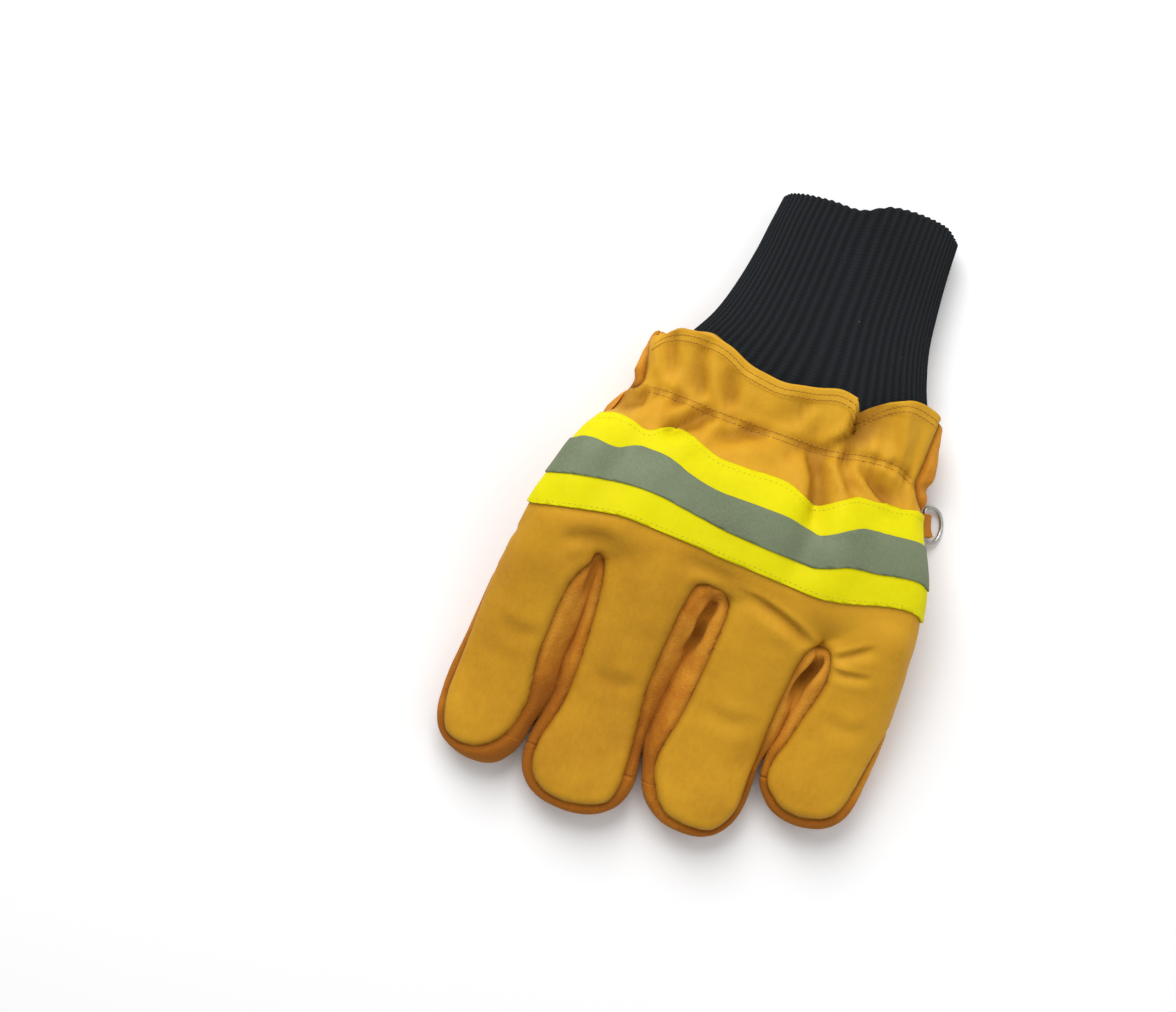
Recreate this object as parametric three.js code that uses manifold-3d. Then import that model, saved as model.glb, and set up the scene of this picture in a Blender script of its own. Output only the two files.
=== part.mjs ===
// Firefighter's glove for the left hand, lying palm down with its thumb folded under the palm.
// Millimetres. +X points to the little finger, +Y to the wrist and +Z up out of the back of the hand.
// The back is grain leather, the palm side and the finger walls are suede, the wristlet is rib knit.

import * as THREE from 'three';
import { mergeVertices } from 'three/addons/utils/BufferGeometryUtils.js';
import Module from 'manifold-3d';

const wasm = await Module();
wasm.setup();

// Lengths along the glove
const indexLength = 90;
const middleLength = 96.5;
const ringLength = 89.5;
const littleLength = 72.5;
const palmLength = 66; // knuckle line to the elastic
const gauntletLength = 22; // elastic to the hem
const wristletLength = 70; // hem to the end of the knit

// Widths across the glove
const indexWidth = 38.5;
const middleWidth = 42;
const ringWidth = 45.5;
const littleWidth = 38;
const fingerGap = 1; // between neighbouring fingers at half height
const wristWidth = 69; // of the knit near its end

// Heights
const fingerThickness = 25;
const palmThickness = 26;
const thumbThickness = 18;
const wristThickness = 24;
const restPress = 0.9; // soft undersides are pressed this flat where they rest
const sideRoll = 6; // the thumb side lies this much higher than the middle of the palm

// Walls and clearances
const leatherWall = 2.6;
const knitWall = 2.4;
const patchWall = 2;
const tapeWall = 0.8;
const silverWall = 0.5;
const seamGap = 0.3;

// Thumb
const thumbLength = 104;
const thumbWidth = 66; // at its root, where it is widest

// Knit ribs
const ribCount = 28;
const ribDepth = 0.9;

// Ring and its leather tab
const ringWire = 1.7;
const ringCorner = 2.4;
const ringBar = 12.4; // inside length of the straight side
const ringReach = 8.6; // straight side to the far side, between wire centres
const ringHeight = 5.2; // straight side above the surface the glove lies on
const ringStandOff = 3; // straight side outside the edge of the glove
const tabWidth = 9.4;
const tabWall = 1.6;
const tabTail = 22; // from the ring's straight side back into the glove
const ringClearance = 0.35;

// Wrist patch
const patchWidth = 78;
const patchLength = 43; // beyond the hem

// Where things lie along the glove: -1 is the middle fingertip, 0 the knuckle line, 1 the elastic,
// 2 the hem and 3 the end of the knit.
const fingerReach = middleLength;
const hemStop = palmLength + gauntletLength;
const stops = [-fingerReach, 0, palmLength, hemStop, hemStop + wristletLength];

function placeOf(y) {
  let n = 0;
  while (n < 3 && y > stops[n + 1]) n += 1;
  return n - 1 + (y - stops[n]) / (stops[n + 1] - stops[n]);
}

function yOf(place) {
  const n = Math.min(3, Math.max(0, Math.floor(place) + 1));
  return stops[n] + (place + 1 - n) * (stops[n + 1] - stops[n]);
}

// Smooth value of one column of a table at a place between its rows.
function read(table, place, column) {
  const last = table.length - 1;
  if (place <= table[0].at) return table[0][column];
  if (place >= table[last].at) return table[last][column];
  let n = 0;
  while (table[n + 1].at < place) n += 1;
  const slope = (k) => {
    const before = table[Math.max(0, k - 1)];
    const after = table[Math.min(last, k + 1)];
    return (after[column] - before[column]) / (after.at - before.at);
  };
  const step = table[n + 1].at - table[n].at;
  const t = (place - table[n].at) / step;
  const bend = t * t * (3 - 2 * t);
  return table[n][column] * (1 - bend) + table[n + 1][column] * bend
    + step * (slope(n) * t * (1 - t) ** 2 - slope(n + 1) * t * t * (1 - t));
}

// Lines between the fingers. Each column is a sideways shift, as a share of the middle finger's width.
const lineShifts = [
  { at: -1, index: -0.01, indexMiddle: -0.05, middleRing: 0, ringLittle: -0.05, little: -0.05 },
  { at: -0.83, index: -0.01, indexMiddle: -0.055, middleRing: 0.005, ringLittle: -0.05, little: -0.04 },
  { at: -0.72, index: -0.008, indexMiddle: -0.035, middleRing: -0.015, ringLittle: -0.05, little: -0.03 },
  { at: -0.62, index: -0.006, indexMiddle: 0.015, middleRing: -0.037, ringLittle: -0.052, little: -0.02 },
  { at: -0.5, index: 0.012, indexMiddle: 0.03, middleRing: -0.03, ringLittle: -0.038, little: -0.006 },
  { at: -0.3, index: 0.045, indexMiddle: 0.018, middleRing: 0, ringLittle: 0.02, little: 0.01 },
  { at: -0.1, index: 0.09, indexMiddle: -0.02, middleRing: 0.054, ringLittle: 0.057, little: -0.012 },
  { at: 0.1, index: 0.14, indexMiddle: -0.03, middleRing: 0.05, ringLittle: 0.067, little: -0.035 },
];

const knuckleWidth = indexWidth + middleWidth + ringWidth + littleWidth;
const halfHand = knuckleWidth / 2;
const lineStarts = {
  index: -halfHand,
  indexMiddle: -halfHand + indexWidth,
  middleRing: -halfHand + indexWidth + middleWidth,
  ringLittle: halfHand - littleWidth,
  little: halfHand,
};

function lineAt(name, y) {
  return lineStarts[name] + middleWidth * read(lineShifts, placeOf(y), name);
}

// Fingers: the lines on their two sides, and how far the tip leans as a share of the finger's width.
const fingers = {
  index: { length: indexLength, width: indexWidth, sides: ['index', 'indexMiddle'], lean: -0.07 },
  middle: { length: middleLength, width: middleWidth, sides: ['indexMiddle', 'middleRing'], lean: -0.05 },
  ring: { length: ringLength, width: ringWidth, sides: ['middleRing', 'ringLittle'], lean: 0.06 },
  little: { length: littleLength, width: littleWidth, sides: ['ringLittle', 'little'], lean: -0.07 },
};

// How high up the hand each gap starts, as a share of the finger reach.
const crotches = { indexMiddle: 0, middleRing: 0.035, ringLittle: -0.055 };

// Suede that shows beside the back leather, as shares of the finger's width. A negative margin puts
// the seam under the finger's edge.
const suedeMargins = {
  index: [
    { at: -0.85, left: 0.02, right: 0.13 },
    { at: -0.72, left: -0.1, right: 0.15 },
    { at: -0.64, left: -0.1, right: 0.17 },
    { at: -0.5, left: -0.1, right: 0.25 },
    { at: -0.3, left: -0.1, right: 0.25 },
    { at: -0.1, left: -0.1, right: 0.13 },
    { at: 0, left: -0.1, right: 0.02 },
  ],
  middle: [
    { at: -0.85, left: 0.1, right: 0.1 },
    { at: -0.65, left: 0.1, right: 0.09 },
    { at: -0.45, left: 0.13, right: 0.15 },
    { at: -0.22, left: 0.11, right: 0.21 },
    { at: -0.06, left: 0.08, right: 0.19 },
    { at: 0, left: 0.02, right: 0.14 },
    { at: 0.035, left: 0.02, right: 0.01 },
  ],
  ring: [
    { at: -0.8, left: 0.09, right: 0.03 },
    { at: -0.65, left: 0.14, right: 0.035 },
    { at: -0.4, left: 0.18, right: 0.06 },
    { at: -0.2, left: 0.18, right: 0.1 },
    { at: -0.06, left: 0.17, right: 0.06 },
    { at: 0, left: 0.13, right: 0.01 },
    { at: 0.035, left: 0.01, right: 0.01 },
  ],
  little: [
    { at: -0.66, left: 0.06, right: 0.05 },
    { at: -0.54, left: 0.06, right: 0.05 },
    { at: -0.4, left: 0.1, right: 0.03 },
    { at: -0.28, left: 0.14, right: -0.08 },
    { at: -0.12, left: 0.17, right: -0.1 },
    { at: -0.055, left: 0.04, right: -0.1 },
    { at: 0, left: 0.01, right: -0.1 },
  ],
};
const tipMargin = 3; // suede that shows round each fingertip
const tipRound = 0.52; // of the finger's width
const fingerBoxy = 2.3;

// Hand: its two edges as shares of half the hand's width, its height, how boxy its sections are,
// and how far the thumb lifts its underside.
const handRows = [
  { at: -1, left: -1, right: 1, height: 0.86, boxy: 2.3, lift: 0, roll: 0 },
  { at: -0.6, left: -1, right: 1, height: 0.92, boxy: 2.3, lift: 0.02, roll: 0.1 },
  { at: -0.3, left: -1, right: 1, height: 0.96, boxy: 2.4, lift: 0.38, roll: 0.5 },
  { at: 0, left: -0.93, right: 0.99, height: 0.98, boxy: 3.2, lift: 0.9, roll: 0.9 },
  { at: 0.2, left: -0.9, right: 0.975, height: 1, boxy: 3.4, lift: 1.06, roll: 1 },
  { at: 0.45, left: -0.84, right: 0.93, height: 1, boxy: 3.2, lift: 1.06, roll: 1 },
  { at: 0.65, left: -0.78, right: 0.865, height: 1, boxy: 3, lift: 0.9, roll: 1 },
  { at: 0.82, left: -0.695, right: 0.82, height: 0.98, boxy: 2.8, lift: 0.62, roll: 0.9 },
  { at: 1, left: -0.665, right: 0.825, height: 0.98, boxy: 2.6, lift: 0.36, roll: 0.6 },
  { at: 1.35, left: -0.67, right: 0.82, height: 1.12, boxy: 2.5, lift: 0.16, roll: 0.4 },
  { at: 1.7, left: -0.665, right: 0.805, height: 1.22, boxy: 2.4, lift: 0.07, roll: 0.3 },
  { at: 2.1, left: -0.64, right: 0.77, height: 1.28, boxy: 2.4, lift: 0.04, roll: 0.2 },
  { at: 3, left: -0.64, right: 0.77, height: 1.3, boxy: 2.4, lift: 0, roll: 0 },
];
const handMargins = [
  { at: 0, left: -0.06, right: -0.06 },
  { at: 0.74, left: -0.06, right: -0.06 },
  { at: 0.82, left: -0.04, right: 0.02 },
  { at: 0.92, left: 0.05, right: 0.07 },
  { at: 1, left: 0.05, right: 0.09 },
  { at: 1.4, left: 0.02, right: 0.065 },
  { at: 1.8, left: -0.06, right: 0.035 },
  { at: 2.3, left: -0.06, right: 0.03 },
];

// Hem on the back, across the glove from -1 at the thumb side to 1: its place along the glove.
const hemRows = [
  { at: -0.72, place: 1.3 },
  { at: -0.66, place: 1.62 },
  { at: -0.6, place: 1.93 },
  { at: -0.52, place: 2.1 },
  { at: -0.42, place: 2.17 },
  { at: -0.3, place: 2.14 },
  { at: -0.18, place: 1.94 },
  { at: -0.05, place: 1.86 },
  { at: 0.05, place: 1.87 },
  { at: 0.16, place: 1.96 },
  { at: 0.27, place: 2.04 },
  { at: 0.34, place: 1.98 },
  { at: 0.37, place: 1.87 },
  { at: 0.43, place: 1.98 },
  { at: 0.54, place: 2.28 },
  { at: 0.64, place: 2.32 },
  { at: 0.73, place: 2.2 },
  { at: 0.82, place: 2 },
];
const palmHemPlace = 2;

// Folds in the back of the hand, from one end to the other: across as a share of half the hand's
// width, along as a place, and the furrow's width and depth as shares of the palm's thickness.
const folds = [
  { from: [0.36, 2.1], to: [0.28, 1.05], width: 0.173, depth: 0.25 },
  { from: [-0.47, 1.75], to: [-0.38, 1.1], width: 0.154, depth: 0.06 },
  { from: [-0.37, 1.8], to: [-0.31, 1.1], width: 0.154, depth: 0.077 },
  { from: [-0.2, 1.7], to: [-0.17, 1.1], width: 0.154, depth: 0.046 },
  { from: [0.13, 1.6], to: [0.08, 1.1], width: 0.154, depth: 0.046 },
  { from: [-0.34, 0.97], to: [-0.55, 0.78], width: 0.173, depth: 0.092 },
  { from: [-0.12, 0.95], to: [-0.2, 0.84], width: 0.154, depth: 0.046 },
  { from: [0.1, 0.95], to: [0.14, 0.8], width: 0.154, depth: 0.054 },
  { from: [0.25, 0.9], to: [0.32, 0.62], width: 0.192, depth: 0.092 },
  { from: [0.38, 0.96], to: [0.5, 0.82], width: 0.154, depth: 0.06 },
  { from: [0.5, 1], to: [0.66, 0.84], width: 0.154, depth: 0.085 },
];

function foldDepth(x, y) {
  let depth = 0;
  for (const fold of folds) {
    const start = new THREE.Vector2(fold.from[0] * halfHand, yOf(fold.from[1]));
    const end = new THREE.Vector2(fold.to[0] * halfHand, yOf(fold.to[1]));
    const along = end.clone().sub(start);
    const here = new THREE.Vector2(x, y).sub(start);
    const share = THREE.MathUtils.clamp(here.dot(along) / along.lengthSq(), 0, 1);
    const away = here.distanceTo(along.multiplyScalar(share));
    depth += fold.depth * palmThickness * Math.exp(-((away / (fold.width * palmThickness)) ** 2));
  }
  return depth;
}

// Height of the middle of the glove's thickness over the surface that it lies on.
function middleHeight(x, y, halfHeight) {
  const place = placeOf(y);
  const lift = thumbThickness * read(handRows, place, 'lift');
  const roll = sideRoll * read(handRows, place, 'roll') * (x / halfHand);
  return halfHeight + lift - roll - restPress;
}

function halfHeightAt(y, thickness) {
  return (thickness / 2) * read(handRows, placeOf(y), 'height');
}

// A point of a superellipse with half sizes of one.
function sectionPoint(turn, boxy) {
  const angle = turn * 2 * Math.PI;
  const bulge = (v) => Math.sign(v) * Math.abs(v) ** (2 / boxy);
  return { across: bulge(Math.cos(angle)), up: bulge(Math.sin(angle)) };
}

// Closed skin over a row of rings, each with the same number of points.
function skin(rings, endless = false) {
  const sides = rings[0].length;
  const points = rings.flat();
  const index = [];
  const spans = endless ? rings.length : rings.length - 1;
  for (let r = 0; r < spans; r += 1) {
    const near = r * sides;
    const far = ((r + 1) % rings.length) * sides;
    for (let s = 0; s < sides; s += 1) {
      const next = (s + 1) % sides;
      index.push(near + s, near + next, far + next, near + s, far + next, far + s);
    }
  }
  if (!endless) {
    [[0, 1], [(rings.length - 1) * sides, -1]].forEach(([first, way]) => {
      const centre = new THREE.Vector3();
      for (let s = 0; s < sides; s += 1) centre.add(points[first + s]);
      points.push(centre.divideScalar(sides));
      for (let s = 0; s < sides; s += 1) {
        const next = (s + 1) % sides;
        const pair = way > 0 ? [first + next, first + s] : [first + s, first + next];
        index.push(points.length - 1, ...pair);
      }
    });
  }
  const geometry = new THREE.BufferGeometry().setFromPoints(points);
  geometry.setIndex(index);
  return solidOf(geometry);
}

// A three.js geometry with shared vertices as a solid, turned inside out if its faces point in.
function solidOf(geometry) {
  const places = Float32Array.from(geometry.attributes.position.array);
  const corners = Uint32Array.from(geometry.index.array);
  let volume = 0;
  const [a, b, c] = [new THREE.Vector3(), new THREE.Vector3(), new THREE.Vector3()];
  for (let t = 0; t < corners.length; t += 3) {
    a.fromArray(places, 3 * corners[t]);
    b.fromArray(places, 3 * corners[t + 1]);
    c.fromArray(places, 3 * corners[t + 2]);
    volume += a.dot(b.cross(c));
  }
  if (volume < 0) {
    for (let t = 0; t < corners.length; t += 3) {
      [corners[t + 1], corners[t + 2]] = [corners[t + 2], corners[t + 1]];
    }
  }
  return new wasm.Manifold(new wasm.Mesh({ numProp: 3, vertProperties: places, triVerts: corners }));
}

// Upright block over a plan outline, from one height to another.
const deepUnder = -palmThickness;
const highOver = 5 * palmThickness;

function uprightBlock(outline, low = deepUnder, high = highOver) {
  const ring = (z) => outline.map(([x, y]) => new THREE.Vector3(x, y, z));
  const faces = THREE.ShapeUtils.triangulateShape(outline.map(([x, y]) => new THREE.Vector2(x, y)), []);
  const count = outline.length;
  const index = [];
  faces.forEach(([p, q, r]) => index.push(p, q, r, p + count, r + count, q + count));
  for (let n = 0; n < count; n += 1) {
    const next = (n + 1) % count;
    index.push(next, n, n + count, next, n + count, next + count);
  }
  const geometry = new THREE.BufferGeometry().setFromPoints([...ring(low), ...ring(high)]);
  geometry.setIndex(index);
  return solidOf(geometry);
}

// Moves every point of a closed outline out by a distance, square to the outline.
function grownOutline(outline, distance) {
  const turn = Math.sign(THREE.ShapeUtils.area(outline.map(([x, y]) => new THREE.Vector2(x, y))));
  return outline.map(([x, y], n) => {
    const [bx, by] = outline[(n + outline.length - 1) % outline.length];
    const [ax, ay] = outline[(n + 1) % outline.length];
    const out = new THREE.Vector2(ay - by, bx - ax).normalize().multiplyScalar(turn * distance);
    return [x + out.x, y + out.y];
  });
}

// Block above a slanting surface that follows the glove's sections: what lies over the side seam.
const blockPlaces = [-1.3, -0.6, -0.3, 0, 0.2, 0.45, 0.65, 0.82, 1, 1.35, 1.7, 2.1, 2.6];
const blockSide = 1.6 * halfHand;

function blockAbove(share, drop, fromX = () => -blockSide, toX = () => blockSide, places = blockPlaces) {
  return skin(places.map((place) => {
    const y = yOf(place);
    const half = halfHeightAt(y, place < 0 ? fingerThickness : palmThickness);
    const height = (x) => middleHeight(x, y, half) + share * half - drop;
    return [
      new THREE.Vector3(fromX(y), y, height(fromX(y))),
      new THREE.Vector3(toX(y), y, height(toX(y))),
      new THREE.Vector3(toX(y), y, highOver),
      new THREE.Vector3(fromX(y), y, highOver),
    ];
  }));
}

// Width left of a rounded fingertip, as a share, at a distance before its end.
function tipShare(before, width) {
  const round = tipRound * width;
  if (before >= round) return 1;
  return (1 - (1 - Math.max(before, 0) / round) ** fingerBoxy) ** (1 / fingerBoxy);
}

// Left and right edges of a finger in plan. The margins are shares of its width.
function fingerEdges(finger, y, inset, margins = null, end = 0) {
  const [leftLine, rightLine] = finger.sides;
  const side = (line) => {
    if (!(line in crotches)) return 0;
    const deep = crotches[line] * fingerReach - y;
    return THREE.MathUtils.clamp(deep, -1, fingerGap / 2);
  };
  const place = placeOf(y);
  const before = finger.length - end + y - (margins ? 0 : inset);
  let left = lineAt(leftLine, y) + side(leftLine) + inset;
  let right = lineAt(rightLine, y) - side(rightLine) - inset;
  if (margins) {
    left += finger.width * read(margins, place, 'left');
    right -= finger.width * read(margins, place, 'right');
  }
  const share = tipShare(before, finger.width);
  const tipWards = 1 - THREE.MathUtils.clamp(before / (0.6 * finger.width), 0, 1);
  const middle = (left + right) / 2 + finger.lean * finger.width * tipWards ** 1.3;
  const half = (share * (right - left)) / 2;
  return { left: middle - half, right: middle + half, share };
}

// Solid finger from its root inside the hand to its tip, its surface moved in by the inset.
const fingerPlaces = [0.1, 0, -0.08, -0.26, -0.44, -0.62, -0.78, -0.89, -0.96, -0.995];

function fingerSolid(finger, inset, sides) {
  const reach = finger.length - inset;
  return skin(fingerPlaces.map((share) => {
    const y = share * reach;
    const edges = fingerEdges(finger, y, inset);
    const half = halfHeightAt(y, fingerThickness) * (share > 0 ? 1 - share : 1);
    const across = (edges.right - edges.left) / 2;
    const middle = (edges.right + edges.left) / 2;
    const up = (half - inset) * edges.share ** 0.8;
    return Array.from({ length: sides }, (_, n) => {
      const point = sectionPoint((n + 0.5) / sides, fingerBoxy);
      const x = middle + across * point.across;
      const z = middleHeight(middle, y, halfHeightAt(y, fingerThickness)) + up * point.up;
      return new THREE.Vector3(x, y, Math.max(z, inset));
    });
  }));
}

// Solid hand from the finger roots to the hem. A mouth carries it past the hem, so that it cuts one open.
const handPlaces = [0.05, 0.18, 0.34, 0.5, 0.64, 0.76, 0.88, 1, 1.2, 1.5, 1.75, 2];

function hemY(x, up) {
  const back = yOf(read(hemRows, x / halfHand, 'place'));
  const towardsBack = THREE.MathUtils.smoothstep(up, -0.5, 0.3);
  return THREE.MathUtils.lerp(yOf(palmHemPlace), back, towardsBack);
}

function handRing(place, inset, sides) {
  const y = yOf(place);
  const half = halfHeightAt(y, palmThickness);
  const left = halfHand * read(handRows, place, 'left') + inset;
  const right = halfHand * read(handRows, place, 'right') - inset;
  const boxy = read(handRows, place, 'boxy');
  const rootRound = place < 0.1 ? 0.93 : 1;
  return Array.from({ length: sides }, (_, n) => {
    const point = sectionPoint((n + 0.5) / sides, boxy);
    const x = (left + right) / 2 + ((right - left) / 2) * point.across;
    const share = THREE.MathUtils.smoothstep(place, 1, 2);
    const mouthY = y + share * (hemY(x, point.up) - yOf(2));
    const back = THREE.MathUtils.smoothstep(point.up, 0.2, 0.8);
    const flat = middleHeight(x, y, half) + rootRound * (half - inset) * point.up;
    return new THREE.Vector3(x, mouthY, Math.max(flat - back * foldDepth(x, mouthY), inset));
  });
}

const handSides = 32;
const fingerSides = 12;
const mouthPast = 0.9 * wristletLength; // how far a form that opens the mouth runs past the hem

function handSolid(inset, mouth = 0) {
  const rings = handPlaces.map((place) => handRing(place, inset, handSides));
  rings[0].forEach((point) => { point.y += Math.max(inset, 0); });
  if (mouth > 0) {
    rings.push(rings[rings.length - 1].map((point) => point.clone().add(new THREE.Vector3(0, mouth, 0))));
  }
  return skin(rings);
}

function all(solids) {
  return solids.reduce((sum, solid) => sum.add(solid));
}

// Hand and fingers together, grown by a distance.
function coat(distance) {
  const fingerCoats = Object.values(fingers).map((finger) => fingerSolid(finger, -distance, fingerSides));
  return all([handSolid(-distance), ...fingerCoats]);
}

// Thumb: sections from its root under the thumb side of the palm to its tip. Width is a share of
// the thumb's width, low and high are shares of its thickness.
const thumbRows = [
  { at: -0.07, wide: 0.5, low: 0.5, high: 1.3 },
  { at: -0.045, wide: 0.72, low: 0.2, high: 1.65 },
  { at: 0, wide: 0.88, low: 0.04, high: 1.85 },
  { at: 0.12, wide: 0.96, low: 0, high: 1.6 },
  { at: 0.26, wide: 0.92, low: 0, high: 1.08 },
  { at: 0.42, wide: 0.78, low: 0, high: 0.98 },
  { at: 0.6, wide: 0.64, low: 0, high: 0.95 },
  { at: 0.78, wide: 0.56, low: 0, high: 0.9 },
  { at: 0.9, wide: 0.46, low: 0.04, high: 0.82 },
  { at: 0.97, wide: 0.3, low: 0.14, high: 0.68 },
  { at: 1, wide: 0.12, low: 0.3, high: 0.5 },
];
const thumbRoot = [-0.68, 0.56]; // across and along, as in the tables above
const thumbTurn = THREE.MathUtils.degToRad(-12);
const thumbBoxy = 2.4;

function thumbSolid(inset, sides) {
  const root = new THREE.Vector3(thumbRoot[0] * halfHand, yOf(thumbRoot[1]), 0);
  const ahead = new THREE.Vector3(Math.cos(thumbTurn), Math.sin(thumbTurn), 0);
  const aside = new THREE.Vector3(-ahead.y, ahead.x, 0);
  return skin(thumbRows.map((row) => {
    const low = row.low * thumbThickness;
    const high = row.high * thumbThickness;
    const scale = 1 - inset / (thumbLength / 2);
    const along = thumbLength * (0.5 + (row.at - 0.5) * scale);
    const across = Math.max((row.wide * thumbWidth) / 2 - inset, 0.6);
    const up = Math.max((high - low) / 2 - inset, 0.5);
    return Array.from({ length: sides }, (_, n) => {
      const point = sectionPoint((n + 0.5) / sides, thumbBoxy);
      const place = root.clone().addScaledVector(ahead, along);
      place.addScaledVector(aside, across * point.across);
      place.z = Math.max((low + high) / 2 + up * point.up - restPress, inset);
      return place;
    });
  }));
}

// Knit wristlet: its edges as shares of the wrist's width, the height of its middle and its height
// as shares of the wrist's thickness. Its root follows the inside of the hand.
const wristRows = [
  { at: 1.75, left: -0.69, right: 0.93, middle: 0.59, height: 0.8 },
  { at: 2, left: -0.59, right: 0.85, middle: 0.59, height: 0.84 },
  { at: 2.2, left: -0.48, right: 0.76, middle: 0.58, height: 0.9 },
  { at: 2.4, left: -0.42, right: 0.7, middle: 0.56, height: 0.94 },
  { at: 2.62, left: -0.385, right: 0.675, middle: 0.54, height: 0.97 },
  { at: 2.85, left: -0.36, right: 0.66, middle: 0.52, height: 0.99 },
  { at: 3, left: -0.335, right: 0.655, middle: 0.5, height: 0.99 },
];

// The end of the knit, across: how far each spot lies ahead, as a share of the wristlet's length.
const wristEnd = [
  { at: -0.36, ahead: -0.1 },
  { at: -0.3, ahead: -0.055 },
  { at: -0.1, ahead: -0.03 },
  { at: 0.08, ahead: -0.025 },
  { at: 0.25, ahead: 0.05 },
  { at: 0.55, ahead: 0.055 },
  { at: 0.66, ahead: -0.01 },
];
const wristPlaces = [1.75, 2.05, 2.35, 2.7, 3];
const seatPlaces = [0.84, 0.92];
const wristBoxy = 2.3;
const runPast = 0.08 * wristletLength; // how far the knit's inside is cut past its two ends

function wristSolid(inset, sides, ribs = 0) {
  const rings = seatPlaces.map((place) => handRing(place, leatherWall + seamGap + inset, sides));
  wristPlaces.forEach((place) => {
    const room = leatherWall + seamGap;
    const roomLeft = halfHand * read(handRows, place, 'left') + room;
    const roomRight = halfHand * read(handRows, place, 'right') - room;
    const left = Math.max(wristWidth * read(wristRows, place, 'left'), roomLeft) + inset;
    const right = Math.min(wristWidth * read(wristRows, place, 'right'), roomRight) - inset;
    const half = (wristThickness / 2) * read(wristRows, place, 'height') - inset;
    const middle = wristThickness * read(wristRows, place, 'middle');
    const clear = (patchWall + seamGap) * (1 - THREE.MathUtils.smoothstep(place, 2.7, 2.9));
    rings.push(Array.from({ length: sides }, (_, n) => {
      const rib = ribs > 0 && n % 2 ? ribDepth : 0;
      const point = sectionPoint((n + 0.5) / sides, wristBoxy);
      const x = (left + right) / 2 + ((right - left) / 2 - rib) * point.across;
      const end = THREE.MathUtils.smoothstep(place, 2.4, 3);
      const y = yOf(place) + end * wristletLength * read(wristEnd, x / wristWidth, 'ahead');
      return new THREE.Vector3(x, y, Math.max(middle + (half - rib) * point.up, clear + inset));
    }));
  });
  return rings;
}

// Space that the leather of the hand takes, kept clear by what passes through its mouth.
const leatherRoom = handSolid(-seamGap).subtract(handSolid(leatherWall + seamGap, mouthPast));

function wristlet() {
  const outside = wristSolid(0, 2 * ribCount, ribCount);
  const inside = wristSolid(knitWall + ribDepth, 24);
  const moved = (ring, way) => ring.map((point) => point.clone().add(new THREE.Vector3(0, way * runPast, 0)));
  const first = moved(inside[0], -1);
  const last = moved(inside[inside.length - 1], 1);
  return skin(outside).subtract(skin([first, ...inside, last])).subtract(leatherRoom);
}

// Tape across the back: the places along the glove of its two edges and those of the silver strip.
const tapeRows = [
  { at: -1, top: 0.7, silverTop: 0.51, silverBottom: 0.32, bottom: 0.13 },
  { at: -0.9, top: 0.71, silverTop: 0.53, silverBottom: 0.33, bottom: 0.15 },
  { at: -0.73, top: 0.76, silverTop: 0.597, silverBottom: 0.386, bottom: 0.197 },
  { at: -0.61, top: 0.772, silverTop: 0.6, silverBottom: 0.416, bottom: 0.227 },
  { at: -0.52, top: 0.752, silverTop: 0.64, silverBottom: 0.43, bottom: 0.245 },
  { at: -0.4, top: 0.82, silverTop: 0.645, silverBottom: 0.436, bottom: 0.248 },
  { at: -0.24, top: 0.772, silverTop: 0.59, silverBottom: 0.41, bottom: 0.24 },
  { at: -0.1, top: 0.74, silverTop: 0.567, silverBottom: 0.379, bottom: 0.23 },
  { at: 0.1, top: 0.747, silverTop: 0.564, silverBottom: 0.362, bottom: 0.217 },
  { at: 0.23, top: 0.72, silverTop: 0.557, silverBottom: 0.35, bottom: 0.201 },
  { at: 0.32, top: 0.679, silverTop: 0.533, silverBottom: 0.342, bottom: 0.194 },
  { at: 0.4, top: 0.727, silverTop: 0.524, silverBottom: 0.342, bottom: 0.192 },
  { at: 0.5, top: 0.795, silverTop: 0.6, silverBottom: 0.388, bottom: 0.2 },
  { at: 0.61, top: 0.817, silverTop: 0.65, silverBottom: 0.426, bottom: 0.226 },
  { at: 0.76, top: 0.848, silverTop: 0.67, silverBottom: 0.447, bottom: 0.273 },
  { at: 0.86, top: 0.8, silverTop: 0.667, silverBottom: 0.464, bottom: 0.294 },
  { at: 1, top: 0.72, silverTop: 0.62, silverBottom: 0.43, bottom: 0.25 },
];

function stripOutline(topColumn, bottomColumn) {
  const count = 15;
  const across = Array.from({ length: count }, (_, n) => THREE.MathUtils.lerp(-1.19, 1.19, n / (count - 1)));
  const edge = (column) => across.map((share) => [share * halfHand, yOf(read(tapeRows, share, column))]);
  return [...edge(bottomColumn), ...edge(topColumn).reverse()];
}

function strip(topColumn, bottomColumn, lift, wall, sideDrop) {
  const layer = handSolid(-(lift + wall)).subtract(coat(lift));
  const outline = uprightBlock(stripOutline(topColumn, bottomColumn));
  return layer.intersect(outline).intersect(blockAbove(0, sideDrop));
}

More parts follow.
